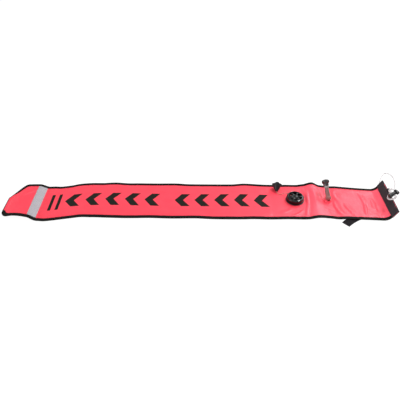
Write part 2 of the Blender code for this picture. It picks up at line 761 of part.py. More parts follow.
def pull_cord_and_knob(h):
    out = Vector((math.cos(CORD_AZIMUTH), math.sin(CORD_AZIMUTH), 0))
    start = out * (DISC_RADIUS + 2 * CLEAR) + Vector((0, 0, h["cord"]))
    leave = out * (BODY_RADIUS + CAP_WALL + 2 * CORD_RADIUS) + Vector((0, 0, h["cord"]))
    tip, head = Vector(KNOB_TIP), Vector(KNOB_HEAD)
    along = (head - tip).normalized()
    straight = [start.lerp(leave, share) for share in (0, 0.33, 0.67, 1)]
    inside = [tip + along * reach for reach in (-2 * CORD_RADIUS, 0, KNOB_BORE_DEPTH / 2, KNOB_BORE_DEPTH - CLEAR)]
    route = [*straight, *CORD_ROUTE, *inside]
    wire("pull_cord", thinned(round_route(route, CORD_RADIUS), CORD_RADIUS / 10), CORD_RADIUS, "pull_cord", VALVE)
    lobed_knob(empty("pull_knob_axis", VALVE, tip, along.to_track_quat("Z", "Y").to_matrix()))


def lobed_knob(holder):
    """Tulip-shaped grip: a turned body whose wide end is pulled out into lobes, with a hollow face."""
    bore = CORD_RADIUS + CLEAR
    points = [(0, KNOB_BORE_DEPTH), (bore, KNOB_BORE_DEPTH), (bore, 0), (KNOB_NECK, 0)]
    points.append((KNOB_NECK * 1.15, 0.25 * KNOB_LENGTH))
    wide = ((0.62, 0.52), (0.92, 0.76), (1.0, 0.92), (0.88, 1.0), (0.55, 0.95), (0, 0.92))
    points += [(r * KNOB_RADIUS, z * KNOB_LENGTH) for r, z in wide]
    obj = meshed(lathe("pull_knob", points, 32, "black_plastic", holder))
    for vertex in obj.data.vertices:
        share = smooth(0.3, 0.9, vertex.co.z / KNOB_LENGTH)
        angle = math.atan2(vertex.co.y, vertex.co.x)
        shrink = 1 - 0.20 * share * (1 - math.cos(KNOB_LOBES * angle)) / 2
        vertex.co.x *= shrink
        vertex.co.y *= shrink
    obj.data.shade_smooth()


# Oral inflator


def oral_inflator():
    """The foot is a socket on the panel; everything else stands on the ball's middle, along the tube."""
    ball_height = BALL_RADIUS + 2 * CLEAR + FLANGE
    rim = ball_height - SOCKET_RIM
    floor = FLANGE / 2
    bowl = BALL_RADIUS + CLEAR
    cup = [(TUBE_BORE, 0), (SOCKET_RADIUS, 0), (SOCKET_RADIUS, floor), (bowl + 2 * CLEAR, rim)]
    start = math.asin(-SOCKET_RIM / bowl)
    end = -math.acos(TUBE_BORE / bowl)
    for i in range(6):
        angle = start + (end - start) * i / 5
        cup.append((bowl * math.cos(angle), ball_height + bowl * math.sin(angle)))
    lathe("inflator_flange", cup, 32, "coral_cloth", INFLATOR_FOOT)

    bottom = -math.sqrt(BALL_RADIUS**2 - TUBE_BORE**2)
    tube = [(TUBE_BORE, bottom)]
    join = math.acos(TUBE_FLARE / BALL_RADIUS)
    low = -math.acos(TUBE_BORE / BALL_RADIUS)
    for i in range(1, 9):
        angle = low + (join - low) * i / 8
        tube.append((BALL_RADIUS * math.cos(angle), BALL_RADIUS * math.sin(angle)))
    tube += [
        (TUBE_FLARE * 0.97, BALL_RADIUS), (TUBE_RADIUS * 1.04, TUBE_LENGTH * 0.55), (TUBE_RADIUS, TUBE_LENGTH * 0.8),
        (TUBE_RADIUS, TUBE_LENGTH), (TUBE_BORE, TUBE_LENGTH),
    ]  # fmt: skip
    lathe("inflator_tube", tube, 24, "smoke_tube", TUBE)

    seat = TUBE_LENGTH - SLEEVE_DEPTH
    collar = TUBE_LENGTH + CLEAR
    top = collar + SLEEVE_TOP
    lathe("inflator_sleeve", [
        (SLEEVE_BORE, seat), (TUBE_BORE - CLEAR, seat), (TUBE_BORE - CLEAR, collar), (COLLAR_RADIUS, collar),
        (COLLAR_RADIUS, collar + COLLAR), (SLEEVE_RADIUS, collar + COLLAR), (SLEEVE_RADIUS, top), (SLEEVE_BORE, top),
    ], 24, "grey_plastic", TUBE)  # fmt: skip

    spider = top + SPRING_ROOM
    spring("inflator_spring", (INFLATOR_SPRING_RADIUS, INFLATOR_SPRING_RADIUS), top + CLEAR, spider - CLEAR, 3, TUBE)
    washer = seat - CLEAR - WASHER
    head = washer - CLEAR - COLLAR
    pin = lathe("inflator_stem", [
        (0, head), (SLEEVE_BORE + CLEAR, head), (SLEEVE_BORE + CLEAR, head + COLLAR), (PIN_RADIUS, head + COLLAR),
        (PIN_RADIUS, spider + SPIDER), (0, spider + SPIDER),
    ], 16, "black_plastic", TUBE)  # fmt: skip
    edge = SLEEVE_RADIUS - CLEAR / 2
    hoop = lathe("spider_hoop", ring(edge - COLLAR, edge, spider, spider + SPIDER), 24, None, TUBE)
    unite(pin, hoop)
    for i in range(3):
        reach = edge - COLLAR / 2
        side = SPIDER_ARM / 2
        arm = plate(f"spider_arm_{i}", [(0, -side), (reach, -side), (reach, side), (0, side)],
                    spider + CLEAR / 2, spider + SPIDER - CLEAR / 2, None, TUBE)  # fmt: skip
        arm.rotation_euler.z = 2 * math.pi * i / 3
        unite(pin, arm)
    lathe("inflator_seal", ring(PIN_RADIUS + CLEAR, TUBE_BORE - 2 * CLEAR, washer, washer + WASHER), 20,
          "black_rubber", TUBE)  # fmt: skip

    foot = collar + COLLAR + CLEAR + PUSH
    shoulder = spider + SPIDER + CLEAR
    mouth_top = foot + MOUTH_HEIGHT
    slide_bore = SLEEVE_RADIUS + CLEAR
    outside = ((0.70, 0), (0.74, 0.34), (0.97, 0.50), (1.0, 0.58), (1.0, 0.74), (0.84, 0.88), (0.50, 0.96), (0.42, 1))
    outside = [(MOUTH_RADIUS * radius, foot + MOUTH_HEIGHT * height) for radius, height in outside]
    grip = [(slide_bore, foot), *outside, (MOUTH_BORE, mouth_top), (MOUTH_BORE, shoulder), (slide_bore, shoulder)]
    mouthpiece = meshed(lathe("inflator_mouthpiece", grip, 32, "black_plastic", TUBE))
    for vertex in mouthpiece.data.vertices:
        radius = math.hypot(vertex.co.x, vertex.co.y)
        share = smooth(MOUTH_RADIUS * 0.6, MOUTH_RADIUS, radius)
        angle = math.atan2(vertex.co.y, vertex.co.x)
        shrink = 1 - 0.07 * share * (1 - math.cos(MOUTH_FLUTES * angle)) / 2
        vertex.co.x *= shrink
        vertex.co.y *= shrink
    return washer


# Mouth loop


def loop_tab():
    """Webbing tab sewn in the mouth, its folded top round the two ends of the elastic."""
    lip = lie(0, TAB_T, front_under(0, TAB_T) - (front_under(0, TAB_T) - back_over(0, TAB_T)) / 2)
    up = Vector((math.cos(CURL_ANGLE), math.sin(CURL_ANGLE)))
    out = Vector((up.y, -up.x))
    half = TAB / 2
    wide, tall = TAB_BULGE
    middle_x = PAIR_IN[0][0] / 1000
    outline = [-out * half - up * TAB_DEPTH, out * half - up * TAB_DEPTH, out * half + up * CLEAR]
    for i in range(13):
        angle = math.radians(-60 + 300 * i / 12)
        outline.append(Vector((middle_x + wide * math.cos(angle), TAB_RISE + tall * math.sin(angle))))
    outline.append(-out * half + up * CLEAR)
    tab = plate("loop_tab", outline, -TAB_WIDTH / 2, TAB_WIDTH / 2, "black_webbing", ROOT)
    tab.matrix_basis = Matrix.Translation(lip) @ Matrix.Rotation(math.pi / 2, 4, "X")
    half = 2 * ELASTIC_RADIUS + STRAND_GAP / 2 + CLEAR
    side = ELASTIC_RADIUS + CLEAR
    pocket = block("tab_pocket", (middle_x - half, -TAB_WIDTH / 2 - OVERCUT, TAB_RISE - side),
                   (middle_x + half, TAB_POCKET - TAB_WIDTH / 2, TAB_RISE + side), ROOT)  # fmt: skip
    pocket.location = lip
    cut(tab, pocket)
    return lip


def strand(points, side):
    """One strand of the pair: the middle line moved sideways by half the spacing."""
    points = [Vector(p) for p in points]
    half = ELASTIC_RADIUS + STRAND_GAP / 2
    moved = []
    for i, point in enumerate(points):
        run = points[min(i + 1, len(points) - 1)] - points[max(i - 1, 0)]
        moved.append(point + Vector((run.y, -run.x, 0)).normalized() * side * half)
    return moved


def lock_heights():
    """Distances along the lock from its narrow end; pair is half the length of the hole for the two strands."""
    h = {"pair": 2 * ELASTIC_RADIUS + STRAND_GAP / 2 + CLEAR}
    h["seat"] = LOCK_FLOOR + LOCK_TRAVEL + 9 * SPRING_WIRE
    h["eye"] = h["seat"] + LOCK_WEB + h["pair"]
    h["top"] = h["eye"] + h["pair"] + LOCK_NOSE
    h["thumb"] = h["top"] + LOCK_TRAVEL + CLEAR
    return h


def cord_lock(h):
    """Everything on the lock stands on its narrow end, with Z along the barrel and the cords through it along Y."""
    top = h["top"]
    ribs = []
    for i in range(LOCK_RIBS):
        low = top * (0.08 + 0.88 * i / LOCK_RIBS)
        step = top * 0.88 / LOCK_RIBS
        ribs += [(LOCK_RADIUS - RIB_DEPTH, low), (LOCK_RADIUS, low + step * 0.25), (LOCK_RADIUS, low + step * 0.75)]
    groove = LOCK_RADIUS - RIB_DEPTH
    barrel = [(0, 0), (LOCK_RADIUS * 0.8, 0), *ribs, (groove, top * 0.97), (groove, top),
              (LOCK_BORE, top), (LOCK_BORE, LOCK_FLOOR), (0, LOCK_FLOOR)]  # fmt: skip
    body = lathe("lock_body", barrel, 24, "black_plastic", LOCK)
    cut(body, slot("body_eye", h["eye"] - h["pair"], h["eye"] + h["pair"]))

    shank = LOCK_BORE - CLEAR
    spring("lock_spring", (LOCK_SPRING_RADIUS, LOCK_SPRING_RADIUS), LOCK_FLOOR + CLEAR, h["seat"] - CLEAR, 3, LOCK)
    inside = h["thumb"] + THUMB / 2
    plunger = lathe("lock_plunger", [(0, h["seat"]), (shank, h["seat"]), (shank, inside), (0, inside)], 24,
                    "black_plastic", LOCK)  # fmt: skip
    outline = []
    for i in range(24):
        angle = 2 * math.pi * i / 24
        square = 1 / (abs(math.cos(angle)) ** 3 + abs(math.sin(angle)) ** 3) ** (1 / 3)
        outline.append((THUMB_DEPTH / 2 * square * math.cos(angle), THUMB_WIDTH / 2 * square * math.sin(angle)))
    unite(plunger, plate("lock_thumb", outline, h["thumb"], h["thumb"] + THUMB, None, LOCK))
    cut(plunger, slot("plunger_eye", h["eye"] - h["pair"], h["eye"] + h["pair"] + LOCK_TRAVEL))


def slot(name, low, high):
    """Cutter for the cross hole that the two strands pass through, along Y."""
    side = ELASTIC_RADIUS + CLEAR
    reach = LOCK_RADIUS + OVERCUT
    return block(name, (-side, -reach, low), (side, reach, high), LOCK)


def elastic_loop(lip, eye):
    """One cord: from the tab through the lock, round the open loop, back through the lock and to the tab."""
    half = ELASTIC_RADIUS + STRAND_GAP / 2
    reach = LOCK_RADIUS + 2 * CLEAR
    into, out = [LOCK.matrix_basis @ Vector((0, reach * share, eye)) for share in (-1, 1)]
    sides = []
    for side in (1, -1):
        pocket = [Vector((PAIR_IN[0][0] / 1000 - side * half, y, TAB_RISE)) + lip for y in
                  (TAB_POCKET - TAB_WIDTH / 2 - CLEAR, -TAB_WIDTH / 2, -TAB_WIDTH / 2 - CLEAR)]  # fmt: skip
        through = [LOCK.matrix_basis @ Vector((0, reach * share, eye + side * half)) for share in (-1, -0.4, 0.4, 1)]
        arrive = strand([*(lip + Vector(p) / 1000 for p in PAIR_IN), into], side)
        depart = strand([out, *(lip + Vector(p) / 1000 for p in PAIR_OUT)], side)
        sides.append(pocket + arrive[1:-1] + through + depart[1:])
    loop = [lip + Vector(p) / 1000 for p in LOOP]
    route = sides[0] + loop + sides[1][::-1]
    points = thinned(round_route(route, ELASTIC_RADIUS), ELASTIC_RADIUS / 6)
    length = sum((b - a).length for a, b in zip(points, points[1:]))
    print(f"elastic: {length * 1000:.0f} mm, {len(points)} points")
    return wire("elastic_loop", points, ELASTIC_RADIUS, "pale_elastic", ROOT)


def box_of(objects):
    """Lowest and highest corners of the evaluated objects."""
    bpy.context.view_layer.update()
    graph = bpy.context.evaluated_depsgraph_get()
    corners = []
    for obj in objects:
        found = obj.evaluated_get(graph)
        mesh = found.to_mesh()
        corners += [found.matrix_world @ v.co for v in mesh.vertices]
        found.to_mesh_clear()
    points = np.array(corners)
    return points.min(axis=0), points.max(axis=0)


clear_scene()
PARTS = collection("surface_marker_buoy")
CUTTERS = collection("cutters")
ROOT = empty("buoy", None, (0, 0, 0))
SNAKE_FINE = round_route([(-s, y, 0) for s, y in SNAKE], 0.010)
SNAKE_S = [p.x for p in SNAKE_FINE]
SNAKE_Y = [p.y for p in SNAKE_FINE]
STATIONS = stations()

valve_s = -VALVE_FROM_LIP
inflator_s = -INFLATOR_FROM_LIP
VALVE = empty("dump_valve", ROOT, lie(valve_s, VALVE_T, front_over(valve_s, VALVE_T) + CLEAR))
INFLATOR_FOOT = empty("inflator_foot", ROOT, lie(inflator_s, INFLATOR_T, front_over(inflator_s, INFLATOR_T) + CLEAR))
tube_turn = Matrix.Rotation(INFLATOR_AZIMUTH, 3, "Z") @ Matrix.Rotation(math.pi / 2 - INFLATOR_ELEVATION, 3, "Y")
TUBE = empty("inflator_axis", INFLATOR_FOOT, (0, 0, BALL_RADIUS + 2 * CLEAR + FLANGE), tube_turn)

panel("back_panel", back_under, 1)
front = panel("front_panel", front_under, 3)
valve_hole = (VALVE, BODY_RADIUS - GASKET_WIDTH)
for name, (home, radius) in (("valve_hole", valve_hole), ("inflator_hole", (INFLATOR_FOOT, TUBE_BORE))):
    cut(front, lathe(name, ring(0, radius, -PANEL - 2 * CLEAR - AIR / 2, CLEAR), 24, None, home))
edge_binding()
reflective_band("reflective_band_front", lambda s, t: front_over(s, t) + CLEAR, BAND)
reflective_band("reflective_band_back", lambda s, t: back_under(s, t) - CLEAR - BAND, BAND)
hem("hem_back", lambda s, t: back_under(s, t) - CLEAR - HEM)
hem("hem_front", lambda s, t: front_over(s, t) + CLEAR)
baffle("baffle_back", lambda s, t: back_over(s, t) + CLEAR)
baffle("baffle_front", lambda s, t: front_under(s, t) - CLEAR - BAFFLE)
storage_strap()
heights = dump_valve()
pull_cord_and_knob(heights)
seal_at = oral_inflator()
lip_point = loop_tab()
lock_turn = Matrix.Rotation(LOCK_YAW, 3, "Z") @ Matrix.Rotation(math.pi / 2 - LOCK_PITCH, 3, "Y")
lock = lock_heights()
LOCK = empty("cord_lock", ROOT, lip_point + Vector(LOCK_EYE) - lock_turn @ Vector((0, 0, lock["eye"])), lock_turn)
cord_lock(lock)
elastic_loop(lip_point, lock["eye"])

ON_CORDS = ("pull_cord", "pull_knob", "elastic_loop", "lock_body", "lock_plunger", "lock_spring")
rigid = [o for o in PARTS.objects if o.type != "EMPTY" and o.name not in ON_CORDS]
low, high = box_of(rigid)
ROOT.location = (-(low[0] + high[0]) / 2, -(low[1] + high[1]) / 2, 0)
bpy.context.view_layer.update()

print("box", [round(float(v) * 1000, 1) for v in high - low], "shift", [round(v, 5) for v in ROOT.location])
for name, home in (("valve", VALVE), ("inflator pivot", TUBE), ("lock", LOCK)):
    place = home.matrix_world.translation
    along = home.matrix_world.to_3x3() @ Vector((0, 0, 1))
    print(name, [round(v, 5) for v in place], "axis", [round(v, 5) for v in along])
across_tube = TUBE.matrix_world.to_3x3() @ Vector((0, 1, 0))
print("tilt axis", [round(v, 5) for v in across_tube], "lip", [round(v, 5) for v in lip_point + ROOT.location])
print("mount", [round(v, 5) for v in lie(-BAG_LENGTH / 2, BAG_WIDTH / 8, 0) + ROOT.location])
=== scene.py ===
"""Looks of a diver's surface marker buoy, deflated and laid out flat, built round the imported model."""

import math
from functools import partial

import bmesh
import bpy
import numpy as np
from mathutils import Matrix, Vector


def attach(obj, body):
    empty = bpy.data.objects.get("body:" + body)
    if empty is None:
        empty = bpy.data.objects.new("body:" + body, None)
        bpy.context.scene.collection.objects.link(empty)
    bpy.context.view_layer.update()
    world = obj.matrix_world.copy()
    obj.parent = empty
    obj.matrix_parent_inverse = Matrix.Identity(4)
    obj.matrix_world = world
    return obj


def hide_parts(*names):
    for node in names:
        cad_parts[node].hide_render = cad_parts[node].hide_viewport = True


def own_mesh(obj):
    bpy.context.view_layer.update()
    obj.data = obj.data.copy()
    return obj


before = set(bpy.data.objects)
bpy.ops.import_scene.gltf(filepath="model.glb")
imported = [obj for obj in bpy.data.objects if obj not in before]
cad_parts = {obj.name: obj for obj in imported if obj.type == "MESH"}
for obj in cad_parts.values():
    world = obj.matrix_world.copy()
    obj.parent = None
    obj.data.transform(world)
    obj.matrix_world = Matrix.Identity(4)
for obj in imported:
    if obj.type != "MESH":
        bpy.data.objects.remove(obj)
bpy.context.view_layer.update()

# Front and back cloth
# Two panels of coated nylon, cut to one outline with a slanted tip, lie on each other and keep the folds of
# being rolled up. s is the distance along the cloth from the mouth's lip, negative towards the tip, t the
# distance across it and d the height of a layer above the underside.
BAG_LENGTH = 1.204
BAG_WIDTH = 0.161
MOUTH_WIDTH = 0.1445
TAPER_FROM = 0.290
TAPER_TO = 0.060
CLOTH = 0.0006
GAP = 0.0003  # between pieces that lie on each other
AIR = 0.0012  # left between the panels
TIP_WIDTH = 0.1455
TIP_FROM = 0.120
TIP_CUT_LENGTH = 0.042
TIP_CUT_WIDTH = 0.062
TIP_ROUND = 0.004
TIP_RADIUS = 0.022
TAPE = 0.0006
TAPE_WIDTH = 0.0090
SEAM_FLAT = 0.0025
SEAM_RAMP = 0.007
HEM_WIDTH = 0.027
HEM = 0.0012
LIP_INSET = 0.0012
MOUTH_GAPE = 0.0016
BAFFLE_LENGTH = 0.100
BAFFLE = 0.0005
BAND_WIDTH = 0.022
BAND_FROM_TIP = 0.082
CURL_RADIUS = 0.025
CURL_ANGLE = math.radians(65)
TIP_LIFT = 0.014
TIP_SAG = 0.006
LIFT_RUN = 0.028
BUCKLE_HEIGHT = 0.009  # of the low hump across the bag beside the inflator
BUCKLE_FROM_LIP = 0.242
BUCKLE_HALF = 0.027
BUCKLE_NEAR = 0.45  # share of its height that is left at the near edge
BUCKLE_SPREAD = 0.35  # by which it is wider there
FOLD_HEIGHT = 0.0016
FOLD_SPACING = 0.310
SEAT_RAMP = 0.008
STRAP = 0.0015
STRAP_LIFT_RUN = 0.020
STRAP_LIFT_FROM_LIP = 0.164
VALVE_FROM_LIP = 0.3054
VALVE_T = 0.0066
SEAT_RADIUS = 0.032
KNOB_REACH = 0.0767  # from the valve to the far side of the knob, with its travel
KNOB_FROM_VALVE = 0.048
INFLATOR_FROM_LIP = 0.2024
INFLATOR_T = 0.0038
SOCKET_RADIUS = 0.0125
FRAME_SHIFT = (0.61125, 0.01886)  # of the laid bag in the model's frame
SLOPE_STEP = 0.0005  # over which slopes are taken
STATION = 0.0026  # between the rows of points along the bag
LAST_STATION = 0.0010  # least space before the last row
SNAKE = (  # distance before the lip, sideways shift of the middle line
    (1.204, -0.0135), (1.144, -0.0145), (1.084, -0.0187), (1.004, -0.0050), (0.934, 0.0008),
    (0.854, 0.0011), (0.734, -0.0024), (0.604, -0.0048), (0.464, -0.0049), (0.374, -0.0080),
    (0.294, -0.0086), (0.243, -0.0042), (0.204, -0.0098), (0.154, -0.0148), (0.049, -0.0242), (0.0, -0.0262),
)  # fmt: skip
NEAR_WAVER = (  # distance before the lip, drift of that edge in millimetres, away from the camera
    (1.204, 0.0), (1.119, 0.0), (1.092, 4.0), (1.070, 1.2), (1.020, 0.0), (0.990, 1.3), (0.966, 3.1),
    (0.940, 1.0), (0.920, 0.0), (0.890, -1.8), (0.839, -3.1), (0.803, -2.2), (0.770, -0.5), (0.749, 0.0),
    (0.690, -0.9), (0.640, 0.6), (0.612, 0.9), (0.586, -1.0), (0.560, -2.4), (0.520, -3.1), (0.478, -3.1),
    (0.440, -1.6), (0.400, -1.2), (0.370, 0.0), (0.3335, 1.3), (0.295, 0.2), (0.243, -2.2), (0.225, 0.0),
    (0.207, 2.4), (0.171, 0.0), (0.0, 0.0),
)  # fmt: skip
FAR_WAVER = (
    (1.204, 0.0), (1.130, -1.5), (1.115, -2.0), (1.095, 1.2), (1.075, 0.8), (1.055, -3.2), (1.020, -3.0),
    (1.000, 0.8), (0.960, 1.6), (0.921, 0.0), (0.882, 2.4), (0.842, -1.0), (0.802, 0.0), (0.745, 0.8),
    (0.684, 2.4), (0.644, -0.5), (0.585, -1.0), (0.505, -1.5), (0.483, 0.5), (0.462, 3.0), (0.440, 2.2),
    (0.410, 0.3), (0.390, -0.3), (0.345, -0.3), (0.325, 0.8), (0.288, -0.5), (0.268, 1.5), (0.248, -1.5),
    (0.228, 0.5), (0.169, 0.0), (0.0, 0.0),
)  # fmt: skip
CREASES = (  # from (s, t), to (s, t), half width, height
    ((-0.257, 0.047), (-0.279, -0.072), 0.0039, 0.0035),
    ((-0.246, 0.052), (-0.240, -0.028), 0.0047, 0.0022),
    ((-0.268, 0.062), (-0.272, -0.008), 0.0047, 0.0016),
    ((-0.188, -0.004), (-0.174, -0.058), 0.0033, 0.0038),
    ((-0.176, 0.052), (-0.174, 0.004), 0.0043, 0.0018),
    ((-0.153, -0.010), (-0.142, -0.060), 0.0033, 0.0035),
    ((-0.094, 0.038), (-0.097, -0.052), 0.0030, 0.0040),
    ((-0.069, 0.024), (-0.064, -0.034), 0.0047, 0.0018),
    ((-0.228, -0.044), (-0.196, -0.051), 0.0027, 0.0016),
    ((-0.325, -0.070), (-0.284, -0.044), 0.0035, 0.0019),
    ((-0.352, -0.058), (-0.318, -0.032), 0.0047, 0.0013),
    ((-1.150, 0.014), (-1.120, 0.046), 0.0047, 0.0019),
)
CREASE_SWAY = 0.0022
TROUGH = 0.25  # depth beside a crease, as a share of its height
RIPPLE = 0.00016
RIPPLES = ((0.7, 113, -95, 1.9), (0.6, 19, 190, 0), (0.5, 171, 60, 0.7))  # size, along, across, start
FEET = ((-VALVE_FROM_LIP, VALVE_T, SEAT_RADIUS), (-INFLATOR_FROM_LIP, INFLATOR_T, 0.0140))  # s, t and radius
FOLD_RAMP = 0.010  # over which the folds die away
MARK_PITCH = 0.0622
MARK_FIRST = -1.0285  # s of the first chevron's point
MARK_GAP = 0.033  # left after the fifth
MARK_HALF = 0.029
MARK_STROKE = 0.0265  # along the bag
MARK_SLOPE = 0.75
BAR_CENTRES = (-1.069, -1.047)
BAR_WIDTH = 0.0095
BAR_HALF = 0.037
CORAL = "#FF3C4F"
CORAL_GLOSS = {"Specular_IOR_Level": 0.45, "Specular_Tint": (0.95, 0.85, 0.98, 1)}
WEAVE = 0.00055  # about twice the real one, which would be too fine to show
PATCH = 0.0714  # of cloth that is a little darker


def ease(low, high, value):
    """A smooth step from 0 at low to 1 at high, where high may be the smaller of the two."""
    share = np.clip((value - low) / (high - low), 0.0, 1.0)
    return share * share * (3 - 2 * share)


def smooth_line(points, spacing):
    """Evenly spaced points on a smooth curve through the points."""
    p = np.array(points, float)
    p = np.vstack([2 * p[0] - p[1], p, 2 * p[-1] - p[-2]])
    u = np.linspace(0, 1, 24, endpoint=False)[None, :, None]
    a, b, c, d = (p[i : len(p) - 3 + i, None] for i in range(4))
    fine = 0.5 * (2 * b + (c - a) * u + (2 * a - 5 * b + 4 * c - d) * u**2 + (3 * b - a - 3 * c + d) * u**3)
    fine = np.vstack([fine.reshape(-1, p.shape[1]), p[-2]])
    walked = run_length(fine)
    marks = np.linspace(0, walked[-1], max(round(walked[-1] / spacing), 2) + 1)
    return np.stack([np.interp(marks, walked, fine[:, k]) for k in range(p.shape[1])], axis=1)


def run_length(points):
    """Distance walked to each of the points."""
    return np.concatenate([[0], np.cumsum(np.linalg.norm(np.diff(points, axis=0), axis=1))])


middle_line = smooth_line([(-s, y) for s, y in SNAKE], 0.010)
wavers = [smooth_line([(-s, y / 1000) for s, y in table], 0.004) for table in (NEAR_WAVER, FAR_WAVER)]


def side_view(s, t):
    """Distance along the ground and height of the underside."""
    arc = -(HEM_WIDTH + CURL_RADIUS * CURL_ANGLE)
    turned = np.clip((s - arc) / CURL_RADIUS, 0, CURL_ANGLE)
    past = np.maximum(s + HEM_WIDTH, 0)
    x = np.minimum(s, arc) + CURL_RADIUS * np.sin(turned) + past * math.cos(CURL_ANGLE)
    z = CURL_RADIUS * (1 - np.cos(turned)) + past * math.sin(CURL_ANGLE)
    from_tip = s + BAG_LENGTH
    band_end = BAND_FROM_TIP + BAND_WIDTH + SEAM_RAMP
    z = z + TIP_LIFT * ease(band_end, band_end - LIFT_RUN, from_tip)
    z = z - TIP_SAG * ease(BAND_FROM_TIP / 2, 0, from_tip)
    to_far = ease(-BAG_WIDTH / 2, BAG_WIDTH / 2, t)
    buckle = BUCKLE_HALF * (1 + BUCKLE_SPREAD * (1 - to_far))
    off = np.clip((s + BUCKLE_FROM_LIP) / buckle, -1, 1)
    z = z + BUCKLE_HEIGHT * (BUCKLE_NEAR + (1 - BUCKLE_NEAR) * to_far) * np.cos(math.pi / 2 * off) ** 2
    return x, z + (STRAP + 2 * GAP) * ease(-STRAP_LIFT_FROM_LIP - STRAP_LIFT_RUN, -STRAP_LIFT_FROM_LIP, s)


def laid(s, t, d):
    """Points of the laid bag in the model's frame. Near its edges they drift with them."""
    s, t, d = np.broadcast_arrays(np.asarray(s, float), t, d)
    x, z = side_view(s, t)
    ahead, behind = side_view(s + SLOPE_STEP, t), side_view(s - SLOPE_STEP, t)
    rise, run = ahead[1] - behind[1], ahead[0] - behind[0]
    long = np.hypot(rise, run)
    y = np.interp(s, middle_line[:, 0], middle_line[:, 1]) + t
    for waver, side in zip(wavers, (-1, 1)):
        y = y + np.interp(s, waver[:, 0], waver[:, 1]) * ease(0.15, 0.95, side * t / (BAG_WIDTH / 2))
    return np.stack([x - d * rise / long + FRAME_SHIFT[0], y + FRAME_SHIFT[1], z + d * run / long], axis=-1)


def half_width(s):
    """Half of the bag's flat width."""
    to_mouth = MOUTH_WIDTH + (BAG_WIDTH - MOUTH_WIDTH) * ease(-TAPER_TO, -TAPER_FROM, s)
    return (to_mouth + (TIP_WIDTH - BAG_WIDTH) * ease(TIP_FROM, TIP_CUT_LENGTH, s + BAG_LENGTH)) / 2


def far_edge(s):
    past = TIP_CUT_WIDTH * (1 - np.maximum(s + BAG_LENGTH, 0) / TIP_CUT_LENGTH)
    return half_width(s) - TIP_ROUND * np.logaddexp(0, past / TIP_ROUND)


def near_edge(s):
    short = TIP_RADIUS - np.clip(s + BAG_LENGTH, 0, TIP_RADIUS)
    return -half_width(s) + TIP_RADIUS - np.sqrt(TIP_RADIUS**2 - short**2)


def open_share(s, t):
    """0 along the bound edge, 1 where the panels lie free."""
    lean = [1 / np.hypot(1, (edge(s + SLOPE_STEP) - edge(s)) / SLOPE_STEP) for edge in (far_edge, near_edge)]
    inset = np.minimum(np.minimum((far_edge(s) - t) * lean[0], (t - near_edge(s)) * lean[1]), s + BAG_LENGTH)
    return ease(TAPE_WIDTH + SEAM_FLAT, TAPE_WIDTH + SEAM_RAMP, inset)


def back_under(s, t):
    return (TAPE + GAP) * (1 - open_share(s, t))


def back_over(s, t):
    return back_under(s, t) + CLOTH


def folds(s, t):
    """Height of the small folds and ripples, which die away round the two welded feet."""
    height = 0
    for (s0, t0), (s1, t1), half, tall in CREASES:
        long = math.hypot(s1 - s0, t1 - t0)
        share = ((s - s0) * (s1 - s0) + (t - t0) * (t1 - t0)) / long**2
        off = ((t - t0) * (s1 - s0) - (s - s0) * (t1 - t0)) / long
        off = off + CREASE_SWAY * np.sin(5.0 * share + 40 * s0)
        ridge = np.exp(-((off / half) ** 2)) - TROUGH * np.exp(-(((off - 2.0 * half) / (1.6 * half)) ** 2))
        height = height + tall * ridge * ease(-0.18, 0.25, share) * ease(1.18, 0.75, share)
    ripple = np.sin(61 * s + 30 * t + 0.4) * np.sin(47 * t + 9 * s)
    for size, along, across, start in RIPPLES:
        ripple = ripple + size * np.sin(along * s + across * t + start)
    height = height + RIPPLE * (ripple + 1.5)
    for foot_s, foot_t, radius in FEET:
        height = height * ease(radius, radius + FOLD_RAMP, np.hypot(s - foot_s, t - foot_t))
    knob = ease(0.050, 0.036, abs(s + VALVE_FROM_LIP + KNOB_FROM_VALVE)) * ease(-0.002, 0.010, t)
    return np.maximum(height, -0.0002) * (1 - knob)


def painted_sheen(s, t):
    """Painted sheen: how much paler the coating is painted along the ridges of the folds, and on the hump
    where the bag stands off the ground.
    """
    standing = np.exp(-(((s + BUCKLE_FROM_LIP) / 0.030) ** 2)) * ease(0.076, 0.060, abs(t))
    return np.clip(0.7 * np.clip(folds(s, t) / 0.003, 0, 1) + 0.8 * standing, 0, 1)


def front_under(s, t):
    """Height of the front panel. It swells with air, but lies calm by the valve, the socket and the mouth."""
    baffle_end, valve_end = -BAFFLE_LENGTH - SEAM_RAMP, VALVE_FROM_LIP - SEAT_RADIUS
    knob_end = VALVE_FROM_LIP + KNOB_REACH
    calm = ease(-knob_end - SEAT_RAMP, -knob_end, s) * ease(-valve_end + SEAT_RAMP, -valve_end, s)
    calm = np.maximum(calm, 1 - ease(SOCKET_RADIUS, SOCKET_RADIUS + SEAT_RAMP, abs(s + INFLATOR_FROM_LIP)))
    at_baffle = ease(baffle_end - SEAT_RAMP, baffle_end, s)
    calm = np.maximum(calm, at_baffle)
    swell = np.sin(2 * math.pi * s / FOLD_SPACING) * np.cos(2 * math.pi * t / BAG_WIDTH)
    air = np.maximum(AIR + FOLD_HEIGHT * (1 + swell) / 2 * (1 - calm), (2 * BAFFLE + 2 * GAP) * at_baffle)
    air = air + MOUTH_GAPE * ease(-BAFFLE_LENGTH / 2, 0, s)
    air = air + folds(s, t) * ease(-HEM_WIDTH, -HEM_WIDTH - FOLD_RAMP, s)
    return back_over(s, t) + GAP + air * open_share(s, t)


def front_over(s, t):
    return front_under(s, t) + CLOTH


def hexed(colour):
    """A colour written as on a screen, as the linear values that a socket takes."""
    parts = [int(colour[i : i + 2], 16) / 255 for i in (1, 3, 5)]
    return (*[p / 12.92 if p <= 0.04045 else ((p + 0.055) / 1.055) ** 2.4 for p in parts], 1)


